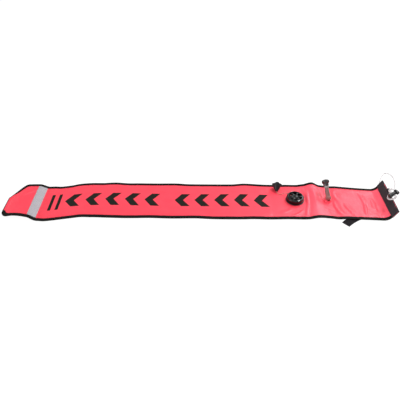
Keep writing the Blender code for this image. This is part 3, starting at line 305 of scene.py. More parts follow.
def feed(made, inputs):
    """Fills a node's inputs, each with a value, a colour as on a screen, or the output that feeds it."""
    for key, value in inputs.items():
        if isinstance(value, bpy.types.NodeSocket):
            made.id_data.links.new(value, made.inputs[key])
        else:
            made.inputs[key].default_value = hexed(value) if isinstance(value, str) else value


def node(tree, kind, inputs=(), out=0, **settings):
    """Adds a node and gives one of its outputs. A kind in capitals is an operation of a Math node."""
    made = tree.nodes.new("ShaderNodeMath" if kind.isupper() else kind)
    if kind.isupper():
        made.operation = kind
    for key, value in settings.items():
        setattr(made, key, value)
    feed(made, inputs if isinstance(inputs, dict) else dict(enumerate(inputs)))
    return made.outputs[out] if len(made.outputs) else made


COLOURS = {"data_type": "RGBA", "out": 2}  # makes a Mix node mix its inputs 6 and 7 as colours


def dress(made, **inputs):
    """Fills the inputs of a material's shader, whose names have underscores here."""
    named = {key.replace("_", " "): value for key, value in inputs.items()}
    feed(made.node_tree.nodes["Principled BSDF"], named)


def material(name, colour, roughness, **more):
    made = bpy.data.materials.new(name)
    made.use_nodes = True
    made.diffuse_color = hexed(colour)
    dress(made, Base_Color=colour, Roughness=roughness, **more)
    return made


def clouded(tree, colour, other, size, share):
    """A colour that drifts softly towards another in cloudy patches, and the cloud."""
    place = node(tree, "ShaderNodeTexCoord", out="Object")
    cloud = node(tree, "ShaderNodeTexNoise", {"Vector": place, "Scale": 1 / size, "Detail": 3.0})
    amount = node(tree, "MULTIPLY", (cloud, share))
    return node(tree, "ShaderNodeMix", {0: amount, 6: colour, 7: other}, **COLOURS), cloud


def on_cloth(tree):
    """Distances along and across a piece, from its own map in metres."""
    cloth = node(tree, "ShaderNodeUVMap", uv_map="cloth")
    return node(tree, "ShaderNodeSeparateXYZ", (cloth,)).node.outputs


def woven(tree, along, across, depth, offset=0.5):
    """Height of a weave, and the bump that it gives."""
    add, cloth = partial(node, tree), on_cloth(tree)
    warp = add("MULTIPLY", (cloth[0], 2 * math.pi / along))
    weft = add("MULTIPLY", (cloth[1], 2 * math.pi / across))
    shifted = add("SINE", (add("ADD", (weft, add("MULTIPLY", (warp, offset)))),))
    height = add("ABSOLUTE", (add("MULTIPLY", (shifted, add("SINE", (warp,)))),))
    return height, add("ShaderNodeBump", {"Height": height, "Distance": depth, "Strength": 0.6})


def between(tree, value, low, high, soft=0.0004):
    """1 from low to high, with soft edges."""
    made = []
    for edge, sign in ((low, 1), (high, -1)):
        ramp = {"Value": value, "From Min": edge - sign * soft, "From Max": edge + sign * soft}
        made.append(node(tree, "ShaderNodeMapRange", ramp, interpolation_type="SMOOTHSTEP"))
    return node(tree, "MULTIPLY", made)


def printed(tree):
    """Where the ink lies: two bars, then two groups of five chevrons that point to the tip."""
    add, cloth = partial(node, tree), on_cloth(tree)
    s = add("SUBTRACT", (cloth[0], BAG_LENGTH))
    off = add("ABSOLUTE", (cloth[1],))
    pause = MARK_FIRST + 5 * MARK_PITCH
    late = add("MULTIPLY", (add("GREATER_THAN", (s, pause + MARK_GAP / 2)), MARK_GAP))
    along = add("SUBTRACT", (add("SUBTRACT", (s, late)), MARK_FIRST))
    cell = add("FLOORED_MODULO", (along, MARK_PITCH))
    arm = between(tree, add("SUBTRACT", (cell, add("MULTIPLY", (off, MARK_SLOPE)))), 0, MARK_STROKE)
    row = add("MULTIPLY", (between(tree, along, 0, 10 * MARK_PITCH), add("LESS_THAN", (off, MARK_HALF))))
    rest = add("SUBTRACT", (1.0, between(tree, s, pause - 0.005, pause + MARK_GAP)))
    ink = add("MULTIPLY", (add("MULTIPLY", (arm, row)), rest))
    for centre in BAR_CENTRES:
        bar = between(tree, s, centre - BAR_WIDTH / 2, centre + BAR_WIDTH / 2)
        ink = add("MAXIMUM", (ink, add("MULTIPLY", (bar, add("LESS_THAN", (off, BAR_HALF))))))
    return ink


def coral_cloth(name, with_print):
    """Nylon cloth with a coat of polyurethane: a strong, even coral with a waxy sheen that shows every fold. It
    is paler on its threads. Painted sheen makes it paler near the mouth, along the ridges of the folds and on
    the hump. The ink is flat and dull."""
    made = material(name, CORAL, 0.48, **CORAL_GLOSS)
    tree = made.node_tree
    add = partial(node, tree)
    thread, bump = woven(tree, WEAVE, WEAVE, 0.00005)
    # Painted light: the cloth is painted paler towards the mouth, where the curled cloth would otherwise render
    # darker.
    mouth = {"Value": on_cloth(tree)[0], "From Min": BAG_LENGTH - 0.070, "From Max": BAG_LENGTH - 0.030}
    colour = CORAL
    for share, other in (
        (add("MULTIPLY", (thread, 0.10)), "#FF7684"),
        (add("ShaderNodeMapRange", mouth, interpolation_type="SMOOTHSTEP"), "#FF5F72"),
        # painted sheen: a paler coral along the fold ridges and on the hump
        (add("MULTIPLY", (add("ShaderNodeAttribute", out="Fac", attribute_name="painted_sheen"), 0.30)), "#FF8496"),
    ):
        colour = add("ShaderNodeMix", {0: share, 6: colour, 7: other}, **COLOURS)
    colour, cloud = clouded(tree, colour, "#F0364A", PATCH, 0.6)
    dress(made, Base_Color=colour, Normal=bump, Roughness=add("MULTIPLY_ADD", (cloud, 0.14, 0.36)))
    if with_print:
        ink = printed(tree)
        share = add("MULTIPLY", (ink, add("MULTIPLY_ADD", (thread, -0.015, 1.0))))
        inked = add("ShaderNodeMix", {0: share, 6: colour, 7: "#141F19"}, **COLOURS)
        dress(made, Base_Color=inked, Specular_IOR_Level=add("MULTIPLY_ADD", (ink, -0.37, 0.45)))
    return made


def linked(name, data):
    obj = bpy.data.objects.new(name, data)
    bpy.context.scene.collection.objects.link(obj)
    return obj


def fitted(obj, body, slot, *cad_nodes):
    """Gives a piece its body and hides the CAD nodes that it stands for. Its colour slot is not used."""
    if cad_nodes:
        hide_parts(*cad_nodes)
    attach(obj, body)
    return obj


def mesh_piece(name, vertices, faces, look, places):
    """A piece from its points and faces, with its map in metres."""
    mesh = bpy.data.meshes.new(name)
    mesh.from_pydata(vertices.reshape(-1, 3).tolist(), [], faces)
    corner = np.zeros(len(mesh.loops), int)
    mesh.loops.foreach_get("vertex_index", corner)
    layer = mesh.uv_layers.new(name="cloth")
    layer.data.foreach_set("uv", np.asarray(places, np.float32).reshape(-1, 2)[corner].ravel())
    mesh.shade_smooth()
    mesh.materials.append(look)
    return linked(name, mesh)


def grid_faces(high, wide):
    """Faces of a grid of points, row by row."""
    i, j = np.meshgrid(np.arange(high - 1), np.arange(wide - 1), indexing="ij")
    first = (i * wide + j).ravel()
    return np.stack([first, first + wide, first + wide + 1, first + 1], axis=1)


def cloth_piece(name, rows, places, thickness, look, side=1):
    """A sheet through rows of points, thickened to one side."""
    obj = mesh_piece(name, rows, grid_faces(*rows.shape[:2]).tolist(), look, places)
    wall = obj.modifiers.new("thickness", "SOLIDIFY")
    wall.thickness, wall.offset, wall.use_even_offset = thickness, side, True
    return obj


def across_bag(along, low, high, columns):
    """A grid of s and t, in rows across the bag."""
    t = low[:, None] + (high - low)[:, None] * np.linspace(0, 1, columns)[None, :]
    return np.repeat(along[:, None], columns, axis=1), t


def on_bag(name, s, t, under, thickness, look, start=-BAG_LENGTH):
    """A sheet that lies on the bag, with its map from the tip or from another start."""
    return cloth_piece(name, laid(s, t, under(s, t)), np.stack([s - start, t], axis=-1), thickness, look)


tip_arc = -BAG_LENGTH + TIP_RADIUS * (1 - np.cos(np.linspace(0, math.pi / 2, 14)))
middle = np.arange(tip_arc[-1] + STATION, -LIP_INSET - LAST_STATION, STATION)
stations = np.concatenate([tip_arc, middle, [-LIP_INSET]])
coral = coral_cloth("coated_nylon", False)
for name, cad_node, under, columns, look in (
    ("front_cloth", "front_panel", front_under, 60, coral_cloth("coated_nylon_printed", True)),
    ("back_cloth", "back_panel", back_under, 30, coral),
):
    s, t = across_bag(stations, near_edge(stations), far_edge(stations), columns)
    cloth = on_bag(name, s, t, under, CLOTH, look)
    if under is front_under:
        # Stores on each point the painted sheen of the fold ridges and the hump.
        paler_tone = cloth.data.attributes.new("painted_sheen", "FLOAT", "POINT")
        paler_tone.data.foreach_set("value", painted_sheen(s, t).astype("f").ravel())
    fitted(cloth, "bag", "coral_cloth", cad_node)

# Baffles of the mouth
# Two flaps of the same cloth inside the mouth, one welded to each panel. The air in the bag presses them
# together and so shuts the mouth by itself.
BAFFLE_SIDE = TAPE_WIDTH + SEAM_RAMP + 2 * GAP
TAB_DEPTH = 0.014
along = np.linspace(-BAFFLE_LENGTH, -TAB_DEPTH - 2 * GAP, 36)
for name, cad_node, under in (
    ("back_flap", "baffle_back", lambda s, t: back_over(s, t) + GAP),
    ("front_flap", "baffle_front", lambda s, t: front_under(s, t) - GAP - BAFFLE),
):
    s, t = across_bag(along, near_edge(along) + BAFFLE_SIDE, far_edge(along) - BAFFLE_SIDE, 24)
    flap = fitted(on_bag(name, s, t, under, BAFFLE, coral), "bag", "coral_cloth", cad_node)

# Bound edge
# A woven tape folded over both panels along the two long edges and round the tip, and sewn down with one line
# of stitches. At the slanted end of the tip it is rolled under the bag, and at the corner it is pleated.
THREAD = 0.00022
STITCH = 0.0026
STITCH_PITCH = 0.0034
SEWN_IN = 0.0014  # from the tape's inner edge to its stitches
ROLLED = 0.88  # share of the tape's upper side that is rolled under
PLEAT = 0.35
PLEAT_AT = 0.008  # from the tip
PLEAT_RUN = 0.016
CORNER_CLEAR = 0.0035  # between the tip's corner and the tape's next point
FOLD_ROUND = 0.0010
FADED = 0.0167  # size of the patches where black cloth is a little paler


def black_weave(name, colour, paler_tone, along, across, depth, roughness):
    """Woven polyester or nylon, dyed black: matt, ribbed, and a little grey where its threads stand up. Its
    ribs are drawn up to twice as wide as the real ones, which would be too fine to show."""
    made = material(name, colour, roughness, Specular_IOR_Level=0.10)
    drifting, _ = clouded(made.node_tree, colour, paler_tone, FADED, 0.5)
    dress(made, Base_Color=drifting, Normal=woven(made.node_tree, along, across, depth, 0.0)[1])
    return made


def edge_walk():
    """Along the far edge from the hem to the tip, round it, and back along the near edge."""
    bound = np.append(stations[stations < -HEM_WIDTH - GAP], -HEM_WIDTH - GAP)
    far, near = (np.stack([bound, edge(bound)], axis=1) for edge in (far_edge, near_edge))
    far = far[::-1]
    far = np.vstack([far[np.linalg.norm(far - far[-1], axis=1) > CORNER_CLEAR], far[-1]])
    end = np.stack([np.full(8, -BAG_LENGTH), np.linspace(far[-1, 1], near[0, 1], 10)[1:-1]], axis=1)
    points = np.vstack([far, end, near])
    leg = np.diff(points, axis=0)
    way = leg / np.linalg.norm(leg, axis=1)[:, None]
    run = np.vstack([way[:1], way[1:] + way[:-1], way[-1:]])
    run /= np.linalg.norm(run, axis=1)[:, None]
    return points, np.stack([-run[:, 1], run[:, 0]], axis=1), run_length(points)


def run_nodes(obj, tree=None, sizes=()):
    """Runs a tree of geometry nodes and the other modifiers, and keeps the result as a plain mesh."""
    if tree:
        worker = obj.modifiers.new("nodes", "NODES")
        worker.node_group = tree
        for item in tree.interface.items_tree:
            if item.name in dict(sizes):
                worker[item.identifier] = dict(sizes)[item.name]
    bpy.context.view_layer.update()
    mesh = bpy.data.meshes.new_from_object(obj.evaluated_get(bpy.context.evaluated_depsgraph_get()))
    obj.modifiers.clear()
    obj.data = mesh
    return obj


def new_tree(name, sizes, whole=()):
    """An empty tree of geometry nodes with its named sizes, the function that adds to it, and its inputs."""
    tree = bpy.data.node_groups.new(name, "GeometryNodeTree")
    for way in ("INPUT", "OUTPUT"):
        tree.interface.new_socket("Geometry", in_out=way, socket_type="NodeSocketGeometry")
    for key in sizes:
        kind = "NodeSocketInt" if key in whole else "NodeSocketFloat"
        tree.interface.new_socket(key, in_out="INPUT", socket_type=kind)
    return tree, partial(node, tree), node(tree, "NodeGroupInput").node.outputs


def finish_tree(tree, geometry, look):
    dressed = node(tree, "GeometryNodeSetMaterial", {"Geometry": geometry, "Material": look})
    node(tree, "NodeGroupOutput", (dressed,))
    return tree


def stitch_tree(look):
    """Small threads at an even pitch along every line of the mesh."""
    tree, add, given = new_tree("stitches", ("Pitch", "Length", "Thread"))
    line = add("GeometryNodeMeshToCurve", {"Mesh": given["Geometry"]})
    even = add("GeometryNodeResampleCurve", {"Curve": line, "Length": given["Pitch"]}, mode="LENGTH")
    bead = add("GeometryNodeMeshUVSphere", {"Segments": 6, "Rings": 4, "Radius": 1.0})
    turn = add("FunctionNodeAlignRotationToVector", {"Vector": add("GeometryNodeInputTangent")}, axis="X")
    half = add("MULTIPLY", (given["Length"], 0.5))
    size = add("ShaderNodeCombineXYZ", (half, given["Thread"], given["Thread"]))
    sewn = {"Points": even, "Instance": bead, "Rotation": turn, "Scale": size}
    row = add("GeometryNodeInstanceOnPoints", sewn)
    return finish_tree(tree, add("GeometryNodeRealizeInstances", (row,)), look)


def stitching(name, lines, look_tree, slot):
    """Rows of stitches along lines of points."""
    edges, first = [], 0
    for line in lines:
        edges += [(first + i, first + i + 1) for i in range(len(line) - 1)]
        first += len(line)
    mesh = bpy.data.meshes.new(name)
    mesh.from_pydata(np.vstack(lines).tolist(), edges, [])
    obj = linked(name, mesh)
    run_nodes(obj, look_tree, {"Pitch": STITCH_PITCH, "Length": STITCH, "Thread": THREAD})
    obj.data.shade_smooth()
    return fitted(obj, "bag", slot)


tape_look = black_weave("binding_tape", "#0C0D0A", "#1F1D19", 0.0011, 0.0008, 0.00012, 0.78)
walk, inward, walked = edge_walk()
tape_high = 2 * TAPE + 2 * CLOTH + 3 * GAP
outer = -(GAP + TAPE)
bend = [(outer + FOLD_ROUND * (1 - math.sin(a)), FOLD_ROUND * (1 - math.cos(a)))
        for a in np.linspace(0, math.pi / 2, 5)]  # fmt: skip
section = [(TAPE_WIDTH, 0), (TAPE_WIDTH / 2, 0), *bend, (outer, tape_high / 2)]
section = np.array(section + [(w, tape_high - d) for w, d in reversed(section[:-1])])
cut_from = -BAG_LENGTH + TIP_CUT_LENGTH
slant = (far_edge(cut_from) - walk[:, 1]) / TIP_CUT_WIDTH  # 0 to 1 along the slant, 2 at the corner
rolled = ease(0.45, 0.80, slant) * ease(1.98, 1.85, slant) * (walk[:, 0] < cut_from)
pleat = np.exp(-(((walk[:, 0] + BAG_LENGTH - PLEAT_AT) / PLEAT_RUN) ** 2)) * (slant > 1.9)
seen_share = 1 - ROLLED * rolled + PLEAT * pleat
rows, places = [], []
across = run_length(section)
for (s, t), into, far, seen in zip(walk, inward, walked, seen_share):
    width = section[:, 0].copy()
    width[(section[:, 1] > tape_high / 2) & (width > 0)] *= seen
    rows.append(laid(s + into[0] * width, t + into[1] * width, section[:, 1]))
    places.append(np.stack([np.full(len(section), far), across], axis=1))
tape = cloth_piece("edge_tape", np.array(rows), np.array(places), TAPE, tape_look, side=-1)
fitted(tape, "bag", "black_tape", "edge_binding")
# Bonded polyester thread: round, smooth and a little paler than the tape that it sews
black_stitches = stitch_tree(material("black_thread", "#33302C", 0.7))
sewn_at = (TAPE_WIDTH * seen_share - SEWN_IN)[:, None]
edge_line = laid(*(walk + inward * sewn_at).T, tape_high + THREAD / 3)
hidden = np.flatnonzero(rolled > 0.6)
seen_lines = [edge_line[: hidden[0]], edge_line[hidden[-1] + 1 :]]
stitching("edge_stitches", seen_lines, black_stitches, "black_tape")

# Reflective bands
# Silver tape sewn across the tip on both sides, so that a lamp finds the buoy at night. Its face is a film of
# tiny moulded prisms in a net of fine pale lines.
BAND = 0.0004
SILVER = "#AAA7AD"
PRISMS = 0.01 / 3  # side of a diamond of the net
BAND_SEWN_IN = 0.0012  # from the band's edges to its stitches


def silver_film():
    """Reflective tape of moulded prisms: a flat, cool grey away from the lamp, with a pale raised net."""
    made = material("prism_tape", SILVER, 0.5, Specular_IOR_Level=0.3)
    add = partial(node, made.node_tree)
    slanted = {"Vector": add("ShaderNodeUVMap", uv_map="cloth"), "Rotation": (0, 0, math.pi / 4)}
    net = add("ShaderNodeTexBrick", {
        "Vector": add("ShaderNodeMapping", slanted), "Scale": 1 / PRISMS, "Mortar Size": 0.06,
        "Color1": SILVER, "Color2": "#A19FA5", "Mortar": "#C4C2C7", "Brick Width": 1.0, "Row Height": 1.0,
    }, offset=0.0)  # fmt: skip
    raised = {"Height": net.node.outputs["Fac"], "Distance": 0.00006, "Strength": 0.5}
    dress(made, Base_Color=net, Normal=add("ShaderNodeBump", raised))
    return made


def seam(s, margin, count, height):
    """A line of points across the bag."""
    t = np.linspace(near_edge(s) + margin, far_edge(s) - margin, count)
    return laid(np.full(count, s), t, height(np.full(count, s), t))


film = silver_film()
# The same thread left undyed: a soft, dull white
white_stitches = stitch_tree(material("white_thread", "#D9D6D8", 0.7))
along = np.linspace(0, BAND_WIDTH, 12) + BAND_FROM_TIP - BAG_LENGTH
for name, cad_node, under, sewn_over in (
    ("front_band", "reflective_band_front", lambda s, t: front_over(s, t) + GAP, BAND + THREAD / 3),
    ("back_band", "reflective_band_back", lambda s, t: back_under(s, t) - GAP - BAND, -THREAD / 3),
):
    s, t = across_bag(along, near_edge(along) + TAPE_WIDTH + GAP, far_edge(along) - TAPE_WIDTH - GAP, 64)
    fitted(on_bag(name, s, t, under, BAND, film, start=0), "bag", "silver_band", cad_node)
    lines = [seam(row, TAPE_WIDTH + 0.001, 70, lambda s, t: under(s, t) + sewn_over)
             for row in (along[0] + BAND_SEWN_IN, along[-1] - BAND_SEWN_IN)]  # fmt: skip
    stitching(f"{name}_stitches", lines, white_stitches, "silver_band")

# Webbed mouth
# Heavy webbing folded over the lip of each panel and sewn with two rows of stitches, so that a hand or a
# regulator can hold the mouth open under water.
WEBBING = HEM * 0.92  # thickness that is left beside its stitches
HEM_ROWS = (-HEM_WIDTH + 0.0022, -0.0045)  # s of its stitches
LIP_CLEAR = 0.0001  # between the webbing's turned end and the cloth
webbing = black_weave("nylon_webbing", "#2D2A2E", "#4A4649", 0.0026, 0.0017, 0.00035, 0.82)
side = GAP + TAPE
along = np.concatenate([np.linspace(-HEM_WIDTH, -0.0016, 22), [-0.00115, -0.00110, -0.00110]])
for name, cad_node, under, nose, up in (
    ("front_hem", "hem_front", lambda s, t: front_over(s, t) + GAP, front_under, 1),
    ("back_hem", "hem_back", lambda s, t: back_under(s, t) - GAP, back_over, -1),
):
    s, t = across_bag(along, near_edge(along) - side, far_edge(along) + side, 60)
    d = under(s, t)
    turned_in = nose(s[-2:], t[-2:]) + up * LIP_CLEAR
    d[-2:] = (d[-2] + turned_in[0]) / 2, turned_in[1]
    s, t, d = s[:, ::up], t[:, ::up], d[:, ::up]
    hem = cloth_piece(name, laid(s, t, d), np.stack([t, s], axis=-1), WEBBING, webbing)
    fitted(hem, "bag", "black_webbing", cad_node)
    lines = [seam(row, 0.002, 60, lambda s, t: under(s, t) + up * (WEBBING + THREAD / 3)) for row in HEM_ROWS]
    stitching(f"{name}_stitches", lines, black_stitches, "black_webbing")

# Storage strap
# A length of flat webbing sewn under the bag at its near edge. The rolled-up bag is tied with it; here it lies
# on the ground with its cut end free.
STRAP_WIDTH = 0.025
STRAP_LENGTH = 0.118
STRAP_ANGLES = (math.radians(44), math.radians(8))  # at the cut end and at the sewn end
STRAP_END = (-0.1725, -0.1115)
BOX = (  # corners of the sewn box and its cross: row of points, share of the width
    (1, -0.38), (1, 0.38), (10, 0.38), (10, -0.38), (1, -0.38), (10, 0.38), (10, -0.38), (1, 0.38),
)  # fmt: skip
strap_look = black_weave("flat_webbing", "#191619", "#2C282D", 0.0024, 0.0015, 0.0003, 0.85)
share = np.linspace(0, 1, 48)
angle = STRAP_ANGLES[0] + (STRAP_ANGLES[1] - STRAP_ANGLES[0]) * share
run = np.stack([math.sin(STRAP_ANGLES[0]) - np.sin(angle), np.cos(angle) - math.cos(STRAP_ANGLES[0])], axis=1)
spot = np.array(STRAP_END) + FRAME_SHIFT + STRAP_LENGTH / (STRAP_ANGLES[0] - STRAP_ANGLES[1]) * run
turn = np.stack([-np.sin(angle), np.cos(angle)], axis=1) * STRAP_WIDTH
side = np.linspace(-0.5, 0.5, 14)
flat = spot[:, None, :] + turn[:, None, :] * side[None, :, None]
height = (GAP * ease(0.5, 1, share))[:, None] * np.ones(len(side))[None, :]
places = np.stack(np.broadcast_arrays(STRAP_LENGTH * share[:, None], STRAP_WIDTH * side[None, :]), axis=-1)
strap = cloth_piece("strap", np.concatenate([flat, height[..., None]], axis=-1), places, STRAP, strap_look)
fitted(strap, "bag", "black_webbing", "storage_strap")
cross = np.array([[*(spot[i] + turn[i] * off), STRAP + THREAD / 3] for i, off in BOX])
stitching("strap_stitches", [cross], black_stitches, "black_webbing")

# Dump valve, lower part
# A rubber ring welded to the front panel carries a threaded cup of black plastic with the valve's seat. A flat
# rubber ring between them keeps the air in.
VALVE = Vector((0.30585, 0.01666, 0.0030))
FLANGE = 0.0012
FLANGE_RADIUS = 0.0285
GASKET = 0.0010
GASKET_WIDTH = 0.006
BODY_RADIUS = 0.0240
Z = Vector((0, 0, 1))


def eased(profile, radius):
    """The same closed profile with its corners rounded off, but for those on the axis."""
    found = []
    for i, (r, z) in enumerate(profile):
        here = np.array([r, z])
        if r <= 0:
            found.append(here)
            continue
        before, after = np.array(profile[i - 1]) - here, np.array(profile[(i + 1) % len(profile)]) - here
        long = [np.linalg.norm(way) for way in (before, after)]
        a, b = (here + way / size * min(radius, size * 0.45) for way, size in zip((before, after), long))
        found += [a, (a + 2 * here + b) / 4, b]
    return [tuple(p) for p in found]


def finished(work, name):
    """The mesh of what was worked on."""
    mesh = bpy.data.meshes.new(name)
    work.to_mesh(mesh)
    work.free()
    return mesh


def settled(name, mesh, look, place=None, sharp=40):
    """Puts a finished mesh in its place as a piece."""
    if place is not None:
        mesh.transform(place)
    mesh.shade_smooth()
    mesh.set_sharp_from_angle(angle=math.radians(sharp))
    mesh.materials.clear()
    mesh.materials.append(look)
    return linked(name, mesh)


def turned(name, profile, look, place=None, sides=72, sharp=40):
    """A piece turned round its own Z from a closed profile of (radius, height)."""
    work = bmesh.new()
    ring = [work.verts.new((max(r, 0), 0, z)) for r, z in profile]
    pairs = [(a, b) for a, b in zip(ring, ring[1:] + ring[:1]) if a.co.x > 0 or b.co.x > 0]
    edges = [work.edges.new(pair) for pair in pairs]
    bmesh.ops.spin(work, geom=ring + edges, cent=(0, 0, 0), axis=(0, 0, 1), angle=2 * math.pi, steps=sides)
    bmesh.ops.remove_doubles(work, verts=work.verts, dist=0.000001)
    bmesh.ops.recalc_face_normals(work, faces=work.faces)
    return settled(name, finished(work, name), look, place, sharp)


def merged_copy(cad_node, name, look):
    """A copy of a hard CAD piece with its triangles merged and its broad flat faces shaded flat."""
    work = bmesh.new()
    work.from_mesh(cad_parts[cad_node].data)
    bmesh.ops.remove_doubles(work, verts=work.verts, dist=0.000002)
    bmesh.ops.dissolve_limit(work, angle_limit=math.radians(1), verts=work.verts, edges=work.edges)
    obj = settled(name, finished(work, name), look, None, 35)
    for face in obj.data.polygons:
        face.use_smooth = len(face.vertices) < 5
    return obj


def moulded(name, colour, roughness, grain, depth, **more):
    """A moulding: an even colour with the mould's fine grain and slightly uneven gloss. The grain is drawn
    coarser than the real one, which would be too fine to show."""
    made = material(name, colour, roughness, **more)
    add = partial(node, made.node_tree)
    place = add("ShaderNodeTexCoord", out="Object")
    fine = add("ShaderNodeTexNoise", {"Vector": place, "Scale": 1 / grain, "Detail": 4.0})
    broad = add("ShaderNodeTexNoise", {"Vector": place, "Scale": 1 / (12 * grain), "Detail": 2.0})
    bump = add("ShaderNodeBump", {"Height": fine, "Distance": depth, "Strength": 0.4})
    dress(made, Normal=bump, Roughness=add("MULTIPLY_ADD", (broad, 0.18, roughness - 0.09)))
    return made


valve_place = Matrix.Translation(VALVE)
# Moulded nitrile rubber: dull, with a dry, powdery grey shine
rubber = moulded("nitrile_rubber", "#1C1C1D", 0.55, 0.00111, 0.00004)
# Acetal from a polished mould: deep black with small, sharp lights along its rounded edges
gloss_black = moulded("polished_acetal", "#070708", 0.20, 0.002, 0.00002, Specular_IOR_Level=0.42)
# The same plastic from a plain mould, for what is inside: black with a broad, weak shine
dull_black = moulded("plain_acetal", "#151518", 0.38, 0.00143, 0.00003, Specular_IOR_Level=0.3)
bore = BODY_RADIUS - GASKET_WIDTH
for name, cad_node, radius, low, thick, corner in (
    ("weld_ring", "valve_flange", FLANGE_RADIUS, 0, FLANGE, 0.0005),
    ("flat_gasket", "valve_gasket", BODY_RADIUS, FLANGE + GAP, GASKET, 0.0003),
):
    ring = [(bore, low), (radius, low), (radius, low + thick), (bore, low + thick)]
    fitted(turned(name, eased(ring, corner), rubber, valve_place), "bag", "black_rubber", cad_node)
fitted(merged_copy("valve_body", "valve_cup", dull_black), "bag", "black_plastic", "valve_body")

# Dump valve, moving part
# A plate with a rubber washer under it is pressed on the seat by a coil spring. The cord lifts it and lets the
# air out, and too much pressure does the same.
WIRE = 0.0004
POPPET_BACK = 0.0088  # height of the plate's upper face above the foot, with the clearance
CAP_ROOF = 0.0139


def spring_tree(look):
    """A wire wound in even curls, from one radius to another."""
    tree, add, given = new_tree("wound_spring", ("Curls", "Low Radius", "High Radius", "Height", "Wire"))
    coil = add("GeometryNodeCurveSpiral", {
        "Resolution": 40, "Rotations": given["Curls"], "Start Radius": given["Low Radius"],
        "End Radius": given["High Radius"], "Height": given["Height"],
    })  # fmt: skip
    wire = add("GeometryNodeCurvePrimitiveCircle", {"Resolution": 10, "Radius": given["Wire"]})
    tube = add("GeometryNodeCurveToMesh", {"Curve": coil, "Profile Curve": wire, "Fill Caps": True})
    return finish_tree(tree, tube, look)


def wound_spring(name, radii, low, high, curls, place, body, cad_node):
    """A coil spring that stands on its own axis, from low to high."""
    obj = linked(name, bpy.data.meshes.new(name))
    run_nodes(obj, springs, {
        "Curls": float(curls), "Low Radius": radii[0], "High Radius": radii[1], "Height": high - low - 2 * WIRE,
        "Wire": WIRE,
    })  # fmt: skip
    obj.data.transform(place @ Matrix.Translation((0, 0, low + WIRE)))
    obj.data.shade_smooth()
    return fitted(obj, body, "spring_steel", cad_node)


# Drawn stainless wire: bright metal with a soft, slightly drawn-out shine
springs = spring_tree(material("stainless_wire", "#D2D2D4", 0.24, Metallic=1.0))
fitted(merged_copy("valve_disc", "valve_plate", dull_black), "poppet", "black_plastic", "valve_disc")
fitted(merged_copy("valve_seal", "valve_washer", rubber), "poppet", "black_rubber", "valve_seal")
top = CAP_ROOF - GAP
coil = wound_spring("valve_coil", (0.0045, 0.0085), POPPET_BACK, top, 4, valve_place, "bag", "valve_spring")
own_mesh(coil)

# Dump valve cap
# A moulded cap of glossy black plastic that screws on the cup. Six windows between its spokes let the air out,
# and its raised rim is cut back to a broad chamfer.
CAP_RADIUS = 0.0264
CAP_WALL_IN = 0.0243
CAP_FOOT = 0.0021
CAP_TOP = 0.0157
CAP_CHAMFER = 0.0022
CAP_RIDGE = 0.0008
WINDOW_IN = 0.0070
WINDOW_OUT = 0.0205
SPOKE_WIDTH = 0.0042
SPOKES = 6
STEM_BORE = 0.0020


def spoke_tree(look):
    """Bars that stand out from the middle at even angles."""
    sizes = ("Count", "Inner", "Outer", "Width", "Low", "High")
    tree, add, given = new_tree("cap_spokes", sizes, whole=("Count",))
    ends = [(given["Outer"], given["Inner"]), (given["High"], given["Low"])]
    middle, lift = (add("MULTIPLY", (add("ADD", pair), 0.5)) for pair in ends)
    long, high = (add("SUBTRACT", pair) for pair in ends)
    bar = add("GeometryNodeMeshCube", {"Size": add("ShaderNodeCombineXYZ", (long, given["Width"], high))})
    place = add("GeometryNodeInputPosition")
    outwards = add("FunctionNodeAlignRotationToVector", {"Vector": place}, axis="X")
    places = add("GeometryNodeMeshCircle", {"Vertices": given["Count"], "Radius": middle})
    bars = add("GeometryNodeInstanceOnPoints", {"Points": places, "Instance": bar, "Rotation": outwards})
    raised = add("GeometryNodeTransform", {0: bars, "Translation": add("ShaderNodeCombineXYZ", {2: lift})})
    return finish_tree(tree, add("GeometryNodeRealizeInstances", (raised,)), look)


def one_mesh(name, pieces):
    """Joins finished pieces into one mesh and removes them."""
    work = bmesh.new()
    for piece in pieces:
        work.from_mesh(piece.data)
        bpy.data.objects.remove(piece)
    return finished(work, name)


def softened(obj, width, segments, by_angle=False):
    """Rounds a piece's edges."""
    soft = obj.modifiers.new("soft_edges", "BEVEL")
    soft.width, soft.segments = width, segments
    if by_angle:
        soft.limit_method = "ANGLE"
    return run_nodes(obj)


rim = turned("cap_rim", eased([
    (WINDOW_OUT, CAP_ROOF), (CAP_WALL_IN, CAP_ROOF), (CAP_WALL_IN, CAP_FOOT), (CAP_RADIUS, CAP_FOOT),
    (CAP_RADIUS, CAP_TOP - CAP_CHAMFER - 0.0004), (CAP_RADIUS - 0.0018, CAP_TOP - 0.0010),
    (WINDOW_OUT + 0.0006, CAP_TOP), (WINDOW_OUT, CAP_TOP - CAP_RIDGE),
], 0.0010), gloss_black, sides=120)  # fmt: skip
hub = turned("cap_hub", eased([
    (STEM_BORE, CAP_ROOF), (WINDOW_IN, CAP_ROOF), (WINDOW_IN, CAP_TOP - CAP_RIDGE),
    (WINDOW_IN - CAP_RIDGE, CAP_TOP), (0, CAP_TOP + CAP_RIDGE / 2), (0, CAP_TOP - CAP_RIDGE),
    (STEM_BORE, CAP_TOP - CAP_RIDGE),
], 0.0004), gloss_black)  # fmt: skip
bars = run_nodes(linked("cap_bars", bpy.data.meshes.new("cap_bars")), spoke_tree(gloss_black), {
    "Count": SPOKES, "Inner": WINDOW_IN - 0.0008, "Outer": WINDOW_OUT + 0.0008, "Width": SPOKE_WIDTH,
    "Low": CAP_ROOF + 0.0001, "High": CAP_TOP - CAP_RIDGE,
})  # fmt: skip
softened(bars, 0.0004, 2)
cap = settled("vented_cap", one_mesh("vented_cap", [rim, hub, bars]), gloss_black, valve_place, 50)
fitted(cap, "bag", "black_plastic", "valve_cap")

